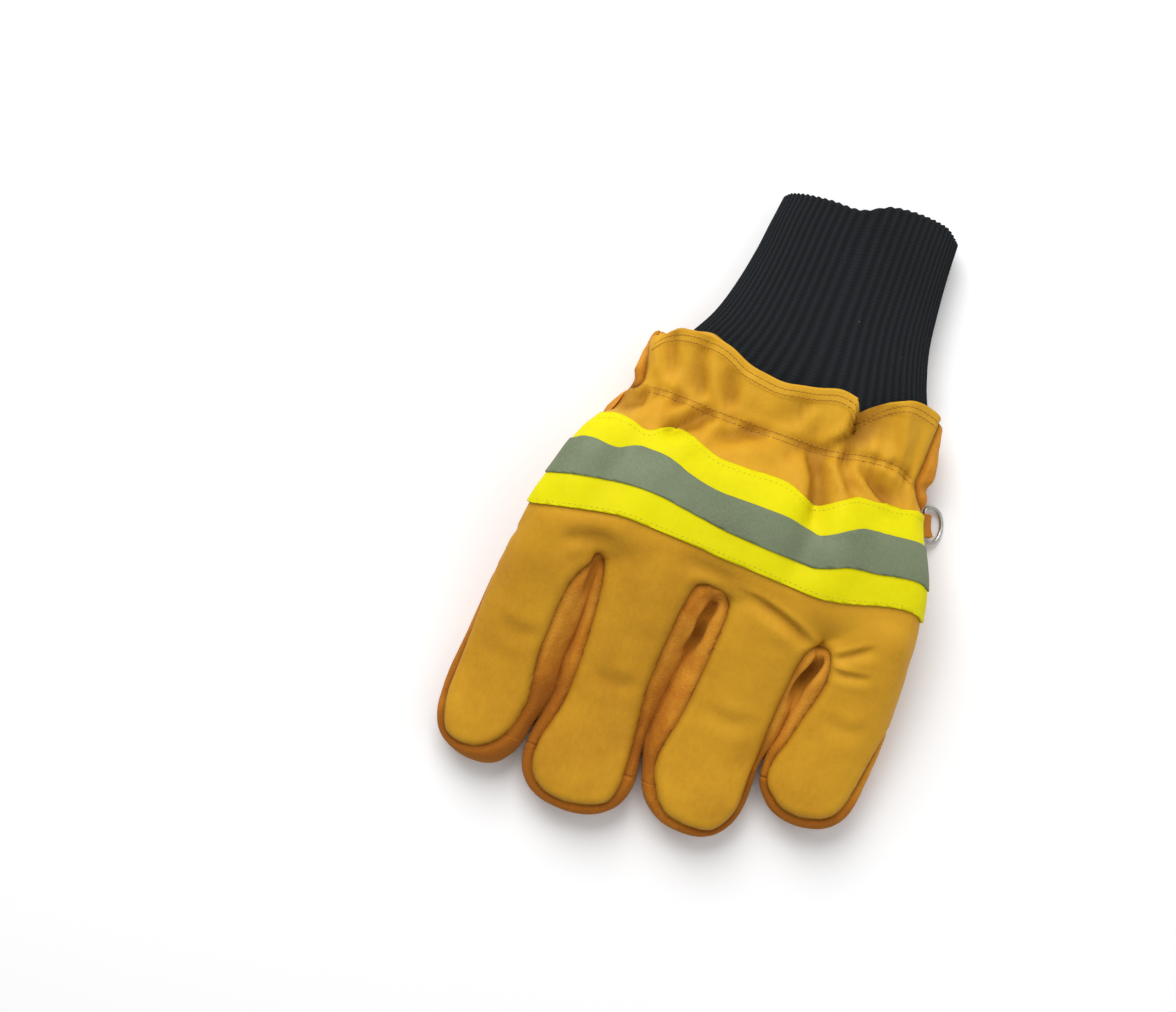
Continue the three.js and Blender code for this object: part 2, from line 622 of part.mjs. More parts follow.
// Outline of the back leather in plan. It reaches past the glove's own edge wherever the side seam
// lies under that edge.
function backOutline() {
  const points = [];
  const shares = [0.02, 0.14, 0.3, 0.46, 0.62, 0.76, 0.87, 0.94, 0.98];
  Object.entries(fingers).forEach(([name, finger]) => {
    const [leftLine, rightLine] = finger.sides;
    const top = (line) => (line in crotches ? crotches[line] * fingerReach : 0);
    const reach = finger.length - tipMargin;
    const edge = (y) => fingerEdges(finger, y, 0, suedeMargins[name], tipMargin);
    shares.forEach((share) => {
      const y = THREE.MathUtils.lerp(top(leftLine), -reach, share);
      points.push([edge(y).left, y]);
    });
    points.push([(edge(-reach + 0.05).left + edge(-reach + 0.05).right) / 2, -reach]);
    [...shares].reverse().forEach((share) => {
      const y = THREE.MathUtils.lerp(top(rightLine), -reach, share);
      points.push([edge(y).right, y]);
    });
  });
  const places = [0.15, 0.4, 0.74, 0.82, 0.92, 1, 1.2, 1.4, 1.7, 2.1, 2.8];
  const handEdge = (place, side) => {
    const way = side === 'right' ? -1 : 1;
    return halfHand * (read(handRows, place, side) + way * read(handMargins, place, side));
  };
  places.forEach((place) => points.push([handEdge(place, 'right'), yOf(place)]));
  [...places].reverse().forEach((place) => points.push([handEdge(place, 'left'), yOf(place)]));
  return points;
}

// Seam across the palm side of the finger roots: across as a share of half the hand's width, with
// its place along the glove.
const rootSeam = [
  { at: -1.6, place: -0.24 },
  { at: -1, place: -0.21 },
  { at: -0.75, place: -0.1 },
  { at: -0.53, place: -0.02 },
  { at: 0, place: -0.015 },
  { at: 0.4, place: -0.05 },
  { at: 0.58, place: -0.09 },
  { at: 1, place: -0.12 },
  { at: 1.6, place: -0.14 },
];

function frontsBlock(back) {
  const seam = rootSeam.map(({ at, place }) => [at * halfHand, yOf(place) - back]);
  const far = -1.5 * fingerReach;
  return uprightBlock([[seam[0][0], far], [seam[seam.length - 1][0], far], ...seam.reverse()]);
}

// Finger walls: each runs down one finger, round the gap and up the next, above a lower seam.
const lowerSeam = -0.45;
const wallReach = 0.3; // half of a finger wall's spread across, as a share of a finger's width
const gaps = { indexMiddle: 'index', middleRing: 'ring', ringLittle: 'little' };

function gapBlock(line, grow) {
  const shortest = fingers[gaps[line]].length;
  const start = placeOf(-shortest + 0.34 * middleWidth - grow);
  const end = placeOf(crotches[line] * fingerReach + 0.1 * middleWidth + grow);
  const spread = wallReach * middleWidth + grow;
  const places = Array.from({ length: 6 }, (_, n) => THREE.MathUtils.lerp(start, end, n / 5));
  const side = (way) => (y) => lineAt(line, y) + way * spread;
  return blockAbove(lowerSeam, grow, side(-1), side(1), places);
}

// Wrist patch: a tongue of suede under the knit, rounded at its end.
function patchOutline() {
  const middle = (wristWidth * (read(wristRows, 2.2, 'left') + read(wristRows, 2.2, 'right'))) / 2;
  const start = yOf(1.75);
  const end = yOf(2) + patchLength;
  const rows = [
    { at: 0, wide: 1 },
    { at: 0.35, wide: 0.98 },
    { at: 0.55, wide: 0.9 },
    { at: 0.72, wide: 0.77 },
    { at: 0.85, wide: 0.62 },
    { at: 0.94, wide: 0.44 },
    { at: 1, wide: 0.2 },
  ];
  const half = (wide) => (wide * patchWidth) / 2;
  const y = (at) => THREE.MathUtils.lerp(start, end, at);
  return [
    ...rows.map((row) => [middle + half(row.wide), y(row.at)]),
    ...[...rows].reverse().map((row) => [middle - half(row.wide), y(row.at)]),
  ];
}

function wristPatch() {
  const layer = (inset) => skin(wristSolid(inset, 28).slice(seatPlaces.length - 1));
  const shell = layer(-(seamGap + patchWall)).subtract(layer(-seamGap));
  const low = uprightBlock([
    [-blockSide, -fingerReach],
    [blockSide, -fingerReach],
    [blockSide, 2 * stops[4]],
    [-blockSide, 2 * stops[4]],
  ], deepUnder, 0.42 * wristThickness);
  return shell.intersect(uprightBlock(patchOutline())).intersect(low).subtract(leatherRoom);
}

// Ring: a D of round wire, made flat with its straight side along Y and its reach along X.
function dRing() {
  const half = (ringBar + ringWire) / 2;
  const path = new THREE.Path();
  path.moveTo(0, -half + ringCorner);
  path.lineTo(0, half - ringCorner);
  path.quadraticCurveTo(0, half, ringCorner, half);
  path.bezierCurveTo(0.75 * ringReach, half, ringReach, 0.55 * half, ringReach, 0);
  path.bezierCurveTo(ringReach, -0.55 * half, 0.75 * ringReach, -half, ringCorner, -half);
  path.quadraticCurveTo(0, -half, 0, -half + ringCorner);
  const steps = 24;
  const sides = 8;
  const centres = path.getSpacedPoints(steps).slice(0, steps);
  return skin(centres.map((centre, n) => {
    const before = centres[(n + steps - 1) % steps];
    const after = centres[(n + 1) % steps];
    const out = new THREE.Vector2(after.y - before.y, before.x - after.x).normalize();
    return Array.from({ length: sides }, (_, s) => {
      const angle = (s / sides) * 2 * Math.PI;
      const aside = (ringWire / 2) * Math.cos(angle);
      const up = (ringWire / 2) * Math.sin(angle);
      return new THREE.Vector3(centre.x + out.x * aside, centre.y + out.y * aside, up);
    });
  }), true);
}

// Tab: a strip of suede folded round the ring's straight side, with its two ends going to the glove.
const tabRise = THREE.MathUtils.degToRad(118);

function tabSolid() {
  const inner = ringWire / 2 + ringClearance;
  const outer = inner + tabWall;
  const shape = new THREE.Shape();
  const ends = new THREE.Vector2(Math.cos(tabRise), Math.sin(tabRise));
  const side = new THREE.Vector2(-ends.y, ends.x);
  const spot = (along, aside) => [ends.x * along + side.x * aside, ends.y * along + side.y * aside];
  shape.moveTo(...spot(tabTail, outer * 0.8));
  const turns = 12;
  for (let n = 0; n <= turns; n += 1) {
    const angle = tabRise + Math.PI / 2 + (Math.PI * n) / turns;
    shape.lineTo(outer * Math.cos(angle), outer * Math.sin(angle));
  }
  shape.lineTo(...spot(tabTail, -outer * 0.8));
  shape.closePath();
  const hole = new THREE.Path();
  hole.absarc(0, 0, inner, 0, 2 * Math.PI, true);
  shape.holes.push(hole);
  const settings = { depth: tabWidth, bevelEnabled: false, curveSegments: 8 };
  const geometry = new THREE.ExtrudeGeometry(shape, settings);
  geometry.translate(0, 0, -tabWidth / 2).rotateX(Math.PI / 2);
  geometry.deleteAttribute('normal');
  geometry.deleteAttribute('uv');
  return solidOf(mergeVertices(geometry, 1e-4));
}

const materials = {
  grain: new THREE.MeshStandardMaterial({ color: 0xc4922a, roughness: 0.55, metalness: 0 }),
  suede: new THREE.MeshStandardMaterial({ color: 0xb87020, roughness: 0.95, metalness: 0 }),
  knit: new THREE.MeshStandardMaterial({ color: 0x1d2123, roughness: 0.95, metalness: 0 }),
  yellow: new THREE.MeshStandardMaterial({ color: 0xf5ec10, roughness: 0.7, metalness: 0 }),
  silver: new THREE.MeshStandardMaterial({ color: 0x7d8770, roughness: 0.45, metalness: 0.2 }),
  steel: new THREE.MeshStandardMaterial({ color: 0xb9bab4, roughness: 0.3, metalness: 0.9 }),
};

function meshOf(name, solid, material) {
  const { vertProperties, triVerts } = solid.getMesh();
  const geometry = new THREE.BufferGeometry();
  geometry.setAttribute('position', new THREE.BufferAttribute(vertProperties, 3));
  geometry.setIndex(new THREE.BufferAttribute(triVerts, 1));
  geometry.computeVertexNormals();
  const mesh = new THREE.Mesh(geometry, material);
  mesh.name = name;
  return mesh;
}

// Leather: one hollow shell of hand and fingers, parted along its seams.
const fingerList = Object.values(fingers);
const outerFingers = fingerList.map((finger) => fingerSolid(finger, 0, fingerSides));
const innerFingers = fingerList.map((finger) => fingerSolid(finger, leatherWall, 8));
const outerHand = handSolid(0);
const innerHand = handSolid(leatherWall, mouthPast);
const innerThumb = thumbSolid(leatherWall, 10);
const shell = all([outerHand, ...outerFingers]).subtract(all([innerHand, ...innerFingers, innerThumb]));

const outline = backOutline();
const backBlock = uprightBlock(outline).intersect(blockAbove(0, 0));
const backBlockGrown = uprightBlock(grownOutline(outline, seamGap)).intersect(blockAbove(0, seamGap));
const suede = shell.subtract(backBlockGrown);
const gapBlocks = Object.keys(gaps).map((line) => gapBlock(line, 0));
const gapBlocksGrown = all(Object.keys(gaps).map((line) => gapBlock(line, seamGap)));

const glove = new THREE.Group();
glove.add(meshOf('back_panel', shell.intersect(backBlock), materials.grain));
glove.add(meshOf('palm_panel', suede.subtract(gapBlocksGrown).subtract(frontsBlock(0)), materials.suede));
Object.keys(fingers).forEach((name, n) => {
  const whole = outerFingers[n].subtract(innerFingers[n]).intersect(frontsBlock(seamGap));
  const front = whole.subtract(backBlockGrown).subtract(gapBlocksGrown);
  glove.add(meshOf(`front_${name}`, front, materials.suede));
});
['wall_index_middle', 'wall_middle_ring', 'wall_ring_little'].forEach((name, n) => {
  glove.add(meshOf(name, suede.intersect(gapBlocks[n]), materials.suede));
});
const thumbShell = thumbSolid(0, 14).subtract(innerThumb);
glove.add(meshOf('thumb', thumbShell.subtract(coat(seamGap)), materials.suede));

glove.add(meshOf('wristlet', wristlet(), materials.knit));
glove.add(meshOf('wrist_patch', wristPatch(), materials.suede));
const yellowStrip = strip('top', 'bottom', seamGap, tapeWall, -1);
glove.add(meshOf('tape', yellowStrip, materials.yellow));
const silverStrip = strip('silverTop', 'silverBottom', 2 * seamGap + tapeWall, silverWall, -1.5);
glove.add(meshOf('tape_silver', silverStrip, materials.silver));

// The ring hangs in its tab at the little finger's side and rests with its far side on the surface.
const ringPlace = 0.8;
const sideAt = halfHand * read(handRows, ringPlace, 'right');
const ringSeat = new THREE.Vector3(sideAt + ringStandOff, yOf(ringPlace), ringHeight);
const sideTurn = THREE.MathUtils.degToRad(14);
const ringDip = Math.asin((ringHeight - ringWire / 2) / ringReach);
const ringMount = new THREE.Group();
ringMount.position.copy(ringSeat);
ringMount.rotation.set(0, 0, sideTurn);
const ring = meshOf('d_ring', dRing(), materials.steel);
ring.rotation.y = ringDip;
ringMount.add(ring);
glove.add(ringMount);

const tabPlace = tabSolid().rotate([0, 0, THREE.MathUtils.radToDeg(sideTurn)]).translate(ringSeat.toArray());
glove.add(meshOf('ring_tab', tabPlace.subtract(coat(seamGap)), materials.suede));

// The origin is on the resting surface, under the middle of the whole glove.
const bounds = new THREE.Box3().setFromObject(glove, true);
glove.position.set(-(bounds.min.x + bounds.max.x) / 2, -(bounds.min.y + bounds.max.y) / 2, -bounds.min.z);
glove.updateMatrixWorld(true);

export default glove;
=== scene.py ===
# Firefighter's glove for the left hand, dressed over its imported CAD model.
# Lengths in the dictionaries are millimetres. Across runs to the little finger, along to the wrist.
# Along: -1 is the middle fingertip, 0 the knuckle line, 1 the elastic, 2 the hem, 3 the knit's end.
import bpy
import bmesh
import math
import numpy as np
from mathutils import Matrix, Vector, noise
from mathutils.bvhtree import BVHTree
from mathutils.kdtree import KDTree


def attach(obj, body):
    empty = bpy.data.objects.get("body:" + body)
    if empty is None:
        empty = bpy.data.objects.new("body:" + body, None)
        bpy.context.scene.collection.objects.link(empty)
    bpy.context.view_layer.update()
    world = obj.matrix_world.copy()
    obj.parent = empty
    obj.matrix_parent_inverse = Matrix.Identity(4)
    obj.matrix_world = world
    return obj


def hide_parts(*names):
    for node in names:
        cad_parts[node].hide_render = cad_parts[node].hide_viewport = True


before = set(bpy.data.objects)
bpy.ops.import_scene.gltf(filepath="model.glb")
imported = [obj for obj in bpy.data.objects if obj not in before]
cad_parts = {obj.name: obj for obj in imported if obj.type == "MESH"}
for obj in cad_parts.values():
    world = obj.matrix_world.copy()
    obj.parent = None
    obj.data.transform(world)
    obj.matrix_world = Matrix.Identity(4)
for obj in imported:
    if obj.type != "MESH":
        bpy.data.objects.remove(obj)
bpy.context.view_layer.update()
print("frame loaded")

glove = {
    "stops": [-96.5, 0, 66, 88, 158],
    "halfHand": 82,
    "fingerThickness": 25,
    "palmThickness": 26,
    "thumbThickness": 18,
    "sideRoll": 6,
    "press": 0.9,
    "centre": (0.079, -33.25),
    "wall": 2.2,
    "fingerSides": 92,
    "handSides": 220,
    "fingerBoxy": 2.3,
}
# from glove millimetres to the frame's
shift = np.array([*glove["centre"], 0])

handTable = {
    "at": [-1, -0.6, -0.3, 0, 0.2, 0.45, 0.65, 0.82, 1, 1.35, 1.7, 2.1, 3],
    "left": [-1, -1, -1, -0.93, -0.9, -0.84, -0.78, -0.695, -0.665, -0.67, -0.665, -0.64, -0.64],
    "right": [1, 1, 1, 0.99, 0.975, 0.93, 0.865, 0.82, 0.825, 0.82, 0.805, 0.77, 0.77],
    "height": [0.86, 0.92, 0.96, 0.98, 1, 1, 1, 0.98, 0.98, 1.12, 1.22, 1.28, 1.3],
    "boxy": [2.3, 2.3, 2.4, 3.2, 3.4, 3.2, 3, 2.8, 2.6, 2.5, 2.4, 2.4, 2.4],
    "lift": [0, 0.02, 0.38, 0.9, 1.06, 1.06, 0.9, 0.62, 0.36, 0.16, 0.07, 0.04, 0],
    "roll": [0, 0.1, 0.5, 0.9, 1, 1, 1, 0.9, 0.6, 0.4, 0.3, 0.2, 0.2],
}

# Edges of the fingers in plan: how far across at each place along. Touch says how far along a finger
# meets the one to its left and the one to its right.
fingers = {
    "index": {
        "reach": 90.8, "round": 20, "lean": 2.5, "touch": (None, -77),
        "leftAt": [24, 10, 0, -5, -12, -18, -27, -43, -58, -70, -91],
        "left": [-69.6, -74.2, -75.2, -76.7, -77.5, -78.3, -79, -80.2, -81.5, -81.9, -82],
        "rightAt": [10, 0, -18, -31, -43, -52, -58, -65, -72, -91],
        "right": [-43.8, -43.4, -42.6, -42.3, -43, -41.8, -42.2, -43.8, -45, -46],
    },
    "middle": {
        "reach": 97, "round": 21, "lean": -1, "touch": (-77, -76),
        "leftAt": [10, 0, -18, -31, -43, -52, -58, -65, -72, -97],
        "left": [-43.8, -43.2, -41.6, -41.3, -42, -40.8, -41.2, -42.8, -44.6, -46],
        "rightAt": [10, 0, -14, -20, -28, -35, -42, -50, -58, -65, -74, -97],
        "right": [4, 3, 1.6, -0.1, -0.9, -2, -2.3, -2.8, -3.2, -2.6, -0.5, 0],
    },
    "ring": {
        "reach": 89.8, "round": 22, "lean": 1, "touch": (-76, -61),
        "leftAt": [10, 0, -14, -20, -28, -35, -42, -50, -58, -65, -74, -90],
        "left": [3, 3.4, 2.6, 0.9, 0.1, -1, -1.3, -1.8, -2.2, -1.6, 0.3, 1],
        "rightAt": [10, 0, -10, -18, -25, -33, -42, -48, -55, -65, -90],
        "right": [47, 46.6, 46, 45.3, 45.2, 44.5, 43.8, 42.4, 41.6, 41.9, 42],
    },
    "little": {
        "reach": 72.3, "round": 19, "lean": 0, "touch": (-61, None),
        "leftAt": [10, 0, -10, -18, -25, -33, -42, -48, -55, -72],
        "left": [47.4, 47.2, 46.6, 46.3, 46.2, 45.5, 44.8, 43.6, 43.2, 43.6],
        "rightAt": [24, 10, 0, -13, -27, -42, -55, -72],
        "right": [75.2, 79.8, 81.2, 82.1, 82.9, 82.8, 82.2, 82],
    },
}
crotches = {"index": 0.4, "middle": 2.6, "ring": -4.2}

# Edge of the back leather in plan, from the crotch on the thumb's side round the tip to the next crotch.
backEdges = {
    "index": [
        (-83, 12), (-82, -10), (-81.6, -30), (-81.6, -50), (-81.3, -60), (-80.6, -68), (-79.4, -75),
        (-77.6, -81), (-75, -84.6), (-70, -86.3), (-65, -86), (-60.8, -84.6), (-56.7, -81.7),
        (-53.3, -77.5), (-51.2, -72.5), (-49.6, -65), (-49.4, -60), (-50.6, -52), (-51.5, -43),
        (-51.2, -33), (-50.9, -24), (-49.8, -15), (-47.6, -9), (-44.8, -4.5), (-43.8, 0.4),
    ],
    "middle": [
        (-42.9, 0), (-41, -3.2), (-39.2, -10), (-38.2, -18), (-37.2, -30), (-36.7, -43), (-37, -55),
        (-38.8, -65), (-41, -73), (-41.5, -79), (-40.2, -85.5), (-36.7, -90.4), (-31, -93.3),
        (-23.3, -93.9), (-14.5, -92.2), (-8.4, -89.4), (-5.7, -84), (-5.2, -76), (-5.8, -65),
        (-7.1, -54), (-8.4, -42), (-8.3, -30), (-7.7, -18), (-6.9, -8), (-5.2, 0.4), (-2.5, 2.3),
        (2.1, 3.2),
    ],
    "ring": [
        (5.8, 2.1), (8.2, -1.2), (9.2, -7), (9, -15), (8.5, -25), (7.7, -38), (6.2, -50), (4.2, -60),
        (3.7, -67), (5.2, -73.4), (9.2, -80.5), (14.2, -85), (20, -86.5), (26, -86.9), (32, -86),
        (36.8, -83), (40, -77.5), (41, -68), (40.6, -55), (40.4, -40), (40.8, -25), (41.8, -14),
        (43.5, -8), (47.3, -4.2),
    ],
    "little": [
        (50, -5.4), (52.2, -9.4), (53.3, -15.8), (52.5, -22), (50, -32), (47.6, -43), (45.4, -50),
        (45, -56), (46.4, -61.6), (50, -65), (55, -68.2), (62.5, -69), (69, -67.6), (74.2, -65),
        (77.4, -60), (79.4, -52), (80.7, -43), (81.8, -35), (82.7, -27), (83.6, -18), (85, -6),
        (86, 14),
    ],
}
backSides = {
    "right": [
        (84, 24), (81, 38), (74, 49), (68, 56), (63.6, 61), (61, 66), (61, 71), (61.5, 79), (62, 98),
        (62, 130),
    ],
    "left": [
        (-60, 130), (-53.8, 86), (-52.6, 78), (-50.8, 71), (-51.4, 66), (-56.5, 62.5), (-64, 58),
        (-78, 40),
    ],
}
hemLine = [
    (-64, 60), (-55.5, 66), (-54.6, 74), (-51.5, 83), (-46, 89.4), (-38.3, 91.5), (-30, 91.7),
    (-23, 90.2), (-15, 86.5), (-8, 85.2), (0, 84.5), (7, 85.8), (13.3, 87), (20.8, 89.2), (25.6, 88.9),
    (28.6, 87.4), (30.4, 83), (32.2, 83), (36, 87), (42, 92.2), (48, 94.8), (55, 94.6), (61, 92.2),
    (66, 84), (72, 80),
]


def smoothLine(knots, values):
    # smooth curve through a few knots, flat past its ends
    k = np.asarray(knots, float)
    v = np.asarray(values, float)
    if k[0] > k[-1]:
        k, v = k[::-1], v[::-1]
    slope = np.empty(len(k))
    slope[1:-1] = (v[2:] - v[:-2]) / (k[2:] - k[:-2])
    slope[0] = (v[1] - v[0]) / (k[1] - k[0])
    slope[-1] = (v[-1] - v[-2]) / (k[-1] - k[-2])

    def at(x):
        x = np.clip(np.asarray(x, float), k[0], k[-1])
        n = np.clip(np.searchsorted(k, x, side="right") - 1, 0, len(k) - 2)
        step = k[n + 1] - k[n]
        t = (x - k[n]) / step
        bend = t * t * (3 - 2 * t)
        return (v[n] * (1 - bend) + v[n + 1] * bend
                + step * (slope[n] * t * (1 - t) ** 2 - slope[n + 1] * t * t * (1 - t)))
    return at


def curveThrough(points):
    return smoothLine(*zip(*points))


def smoothPath(points, step=1.0):
    # points along a rounded path through the given ones, about a step apart
    p = np.asarray(points, float)
    count = len(p)
    out = []
    for n in range(count - 1):
        a, b = p[n], p[n + 1]
        before = p[n - 1] if n > 0 else a
        after = p[n + 2] if n + 2 < count else b
        parts = max(1, int(round(np.linalg.norm(b - a) / step)))
        t = (np.arange(parts) / parts)[:, None]
        out.append(0.5 * (2 * a + (b - before) * t + (2 * before - 5 * a + 4 * b - after) * t ** 2
                          + (3 * a - before - 3 * b + after) * t ** 3))
    return np.vstack([*out, p[-1:]])


def smoothStep(x, low, high):
    t = np.clip((np.asarray(x, float) - low) / (high - low), 0, 1)
    return t * t * (3 - 2 * t)


def placeOf(y):
    return np.interp(y, glove["stops"], [-1, 0, 1, 2, 3])


def alongOf(place):
    return np.interp(place, [-1, 0, 1, 2, 3], glove["stops"])


handAt = {column: smoothLine(handTable["at"], handTable[column]) for column in handTable if column != "at"}


def middleHeight(x, y, half):
    place = placeOf(y)
    lift = glove["thumbThickness"] * handAt["lift"](place)
    roll = glove["sideRoll"] * handAt["roll"](place) * x / glove["halfHand"]
    return half + lift - roll - glove["press"]


def superEllipse(count, boxy):
    angle = 2 * np.pi * np.arange(count) / count
    c, s = np.cos(angle), np.sin(angle)
    power = 2 / np.asarray(boxy)[..., None]
    return np.sign(c) * np.abs(c) ** power, np.sign(s) * np.abs(s) ** power


def newMesh(name, points, faces):
    # points in glove millimetres become an object in the frame's metres
    p = np.asarray(points, float).reshape(-1, 3) + shift
    mesh = bpy.data.meshes.new(name)
    mesh.from_pydata((p / 1000).tolist(), [], [tuple(f) for f in faces])
    mesh.update()
    piece = bpy.data.objects.new(name, mesh)
    bpy.context.scene.collection.objects.link(piece)
    return piece


def gridFaces(rows, columns, roundRows=False, roundColumns=False):
    # quads between neighbouring points of a grid, which may close on itself either way
    faces = []
    for r in range(rows if roundRows else rows - 1):
        here, ahead = r * columns, (r + 1) % rows * columns
        for c in range(columns if roundColumns else columns - 1):
            beside = (c + 1) % columns
            faces.append((here + c, here + beside, ahead + beside, ahead + c))
    return faces


def tubeFaces(rings, sides):
    ends = [tuple(reversed(range(sides))), tuple(range((rings - 1) * sides, rings * sides))]
    return gridFaces(rings, sides, roundColumns=True) + ends


def only(*pieces):
    bpy.ops.object.select_all(action="DESELECT")
    for piece in pieces:
        piece.select_set(True)
    bpy.context.view_layer.objects.active = pieces[0]


def apply(piece, kind, **settings):
    only(piece)
    modifier = piece.modifiers.new(kind.title(), kind)
    for key, value in settings.items():
        setattr(modifier, key, value)
    bpy.ops.object.modifier_apply(modifier=modifier.name)


def combine(piece, other, operation):
    apply(piece, "BOOLEAN", operation=operation, solver="EXACT", object=other)
    bpy.data.objects.remove(other)


def openMesh(piece):
    mesh = bmesh.new()
    mesh.from_mesh(piece.data)
    mesh.verts.ensure_lookup_table()
    mesh.faces.ensure_lookup_table()
    return mesh


def closeMesh(mesh, piece):
    mesh.to_mesh(piece.data)
    mesh.free()
    piece.data.update()


def outward(piece):
    only(piece)
    bpy.ops.object.mode_set(mode="EDIT")
    bpy.ops.mesh.select_all(action="SELECT")
    bpy.ops.mesh.remove_doubles(threshold=1e-6)
    bpy.ops.mesh.normals_make_consistent(inside=False)
    bpy.ops.object.mode_set(mode="OBJECT")


def pointsOf(piece):
    # vertices in glove millimetres
    co = np.empty(len(piece.data.vertices) * 3)
    piece.data.vertices.foreach_get("co", co)
    return co.reshape(-1, 3) * 1000 - shift


def setPoints(piece, points):
    piece.data.vertices.foreach_set("co", ((points + shift) / 1000).ravel())
    piece.data.update()


def aboveFloor(points):
    points[..., 2] = np.maximum(points[..., 2], 0)
    return points


def normalsOf(piece):
    n = np.empty(len(piece.data.vertices) * 3)
    piece.data.vertices.foreach_get("normal", n)
    return n.reshape(-1, 3)


def touching(y, end):
    # how much wider a finger is where it meets its neighbour
    if end is None:
        return 0
    return 0.95 * smoothStep(y, end + 5, end + 16) * (1 - smoothStep(y, -8, 3))


def fingerForm(name):
    f = fingers[name]
    left = smoothLine(f["leftAt"], f["left"])
    right = smoothLine(f["rightAt"], f["right"])
    sides, boxy = glove["fingerSides"], glove["fingerBoxy"]
    straight = np.linspace(24, f["round"] - f["reach"], 84)[:-1]
    turn = np.linspace(0, np.pi / 2, 26)
    before = f["round"] * (1 - np.sin(turn) ** (2 / boxy))
    y = np.concatenate([straight, before - f["reach"]])
    share = np.concatenate([np.ones(len(straight)), np.cos(turn) ** (2 / boxy)])
    share = np.maximum(share, 0.03)
    leftEdge, rightEdge = (edge(y) + way * touching(y, end)
                           for edge, way, end in zip((left, right), (-1, 1), f["touch"]))
    mid = (leftEdge + rightEdge) / 2 + f["lean"] * (1 - share)
    half = (rightEdge - leftEdge) / 2 * share
    root = 1 - 0.5 * smoothStep(y, 8, 24)
    thick = glove["fingerThickness"] / 2 * handAt["height"](placeOf(y))
    across, up = superEllipse(sides, np.full(len(y), boxy))
    x = mid[:, None] + half[:, None] * across
    z = middleHeight(mid, y, thick)[:, None] + (thick * root * share ** 0.8)[:, None] * up
    points = np.stack([x, np.repeat(y[:, None], sides, 1), np.maximum(z, 0)], 2)
    return newMesh(name, points, tubeFaces(len(y), sides))


hemAt = curveThrough(hemLine)


def handForm():
    place = np.concatenate([np.linspace(-0.02, 1, 66)[:-1], np.linspace(1, 2, 34)])
    y = alongOf(place)
    front = np.clip((y + 1.4) / 17, 0.02, 1)
    middle = glove["palmThickness"] / 2 * handAt["height"](place)
    thick = middle * (1 - (1 - front) ** 2.2) ** (1 / 2.2)
    left = glove["halfHand"] * handAt["left"](place)
    right = glove["halfHand"] * handAt["right"](place)
    across, up = superEllipse(glove["handSides"], handAt["boxy"](place))
    x = ((left + right) / 2)[:, None] + ((right - left) / 2)[:, None] * across
    backHem = (hemAt(x) - glove["stops"][3]) * smoothStep(up, -0.5, 0.3)
    along = y[:, None] + smoothStep(place, 1, 2)[:, None] * backHem
    z = middleHeight(x, along, middle[:, None]) + thick[:, None] * up
    points = np.stack([x, along, np.maximum(z, 0)], 2)
    return newMesh("hand", points, tubeFaces(len(y), glove["handSides"]))


def bodyForm():
    body = handForm()
    outward(body)
    for name in fingers:
        finger = fingerForm(name)
        outward(finger)
        combine(body, finger, "UNION")
    return body


def neighbourMean(piece, values):
    # mean over each vertex's neighbours
    edges = np.empty(len(piece.data.edges) * 2, int)
    piece.data.edges.foreach_get("vertices", edges)
    a, b = edges.reshape(-1, 2).T
    count = np.bincount(np.r_[a, b], minlength=len(values))
    columns = values.reshape(len(values), -1).T
    total = np.stack([np.bincount(np.r_[a, b], np.r_[v[b], v[a]], len(values)) for v in columns], 1)
    return (total / np.maximum(count, 1)[:, None]).reshape(values.shape)


def relax(piece, share, times):
    # each point goes part of the way to its neighbours' mean
    p = pointsOf(piece)
    weight = 0.9 * share[:, None] * 0.5
    for turn in range(times):
        p += weight * (neighbourMean(piece, p) - p)
    setPoints(piece, p)


def alongSpan(x, y, a, b):
    # share of the way from a to b, and the distance to that span
    dx, dy = b[0] - a[0], b[1] - a[1]
    t = np.clip(((x - a[0]) * dx + (y - a[1]) * dy) / max(dx ** 2 + dy ** 2, 1e-9), 0, 1)
    return t, np.hypot(x - a[0] - t * dx, y - a[1] - t * dy)


def insideOutline(outline, x, y):
    # signed distance to a closed outline in plan, positive inside
    inside = np.zeros(len(x), bool)
    nearest = np.full(len(x), 1e9)
    for (ax, ay), (bx, by) in zip(outline, np.roll(outline, -1, 0)):
        nearest = np.minimum(nearest, alongSpan(x, y, (ax, ay), (bx, by))[1])
        crosses = (ay > y) != (by > y)
        inside ^= crosses & (x < ax + (y - ay) * (bx - ax) / (by - ay if by != ay else 1e-9))
    return np.where(inside, 1, -1) * nearest


outline = np.vstack([smoothPath(path, 1.2) for path in (*backEdges.values(), *backSides.values())])


def seamHeight(x, y):
    full = np.where(y < 0, glove["fingerThickness"], glove["palmThickness"])
    return middleHeight(x, y, full / 2 * handAt["height"](placeOf(y)))


rootSeam = smoothLine([-131, -82, -61, -43, 0, 33, 48, 82, 131], [-23, -20, -10, -2, -1.5, -5, -9, -12, -13])
# Walls between the fingers: the finger on the left of each, and how far down it ends.
walls = {
    "wallIndexMiddle": {"finger": "index", "end": -77},
    "wallMiddleRing": {"finger": "middle", "end": -76},
    "wallRingLittle": {"finger": "ring", "end": -59},
}
for wall in walls.values():
    finger = fingers[wall["finger"]]
    wall["line"] = smoothLine(finger["rightAt"], finger["right"])


def fromWalls(p):
    # how far from the nearest line between two fingers
    return np.min([np.abs(p[:, 0] - wall["line"](p[:, 1])) for wall in walls.values()], 0)


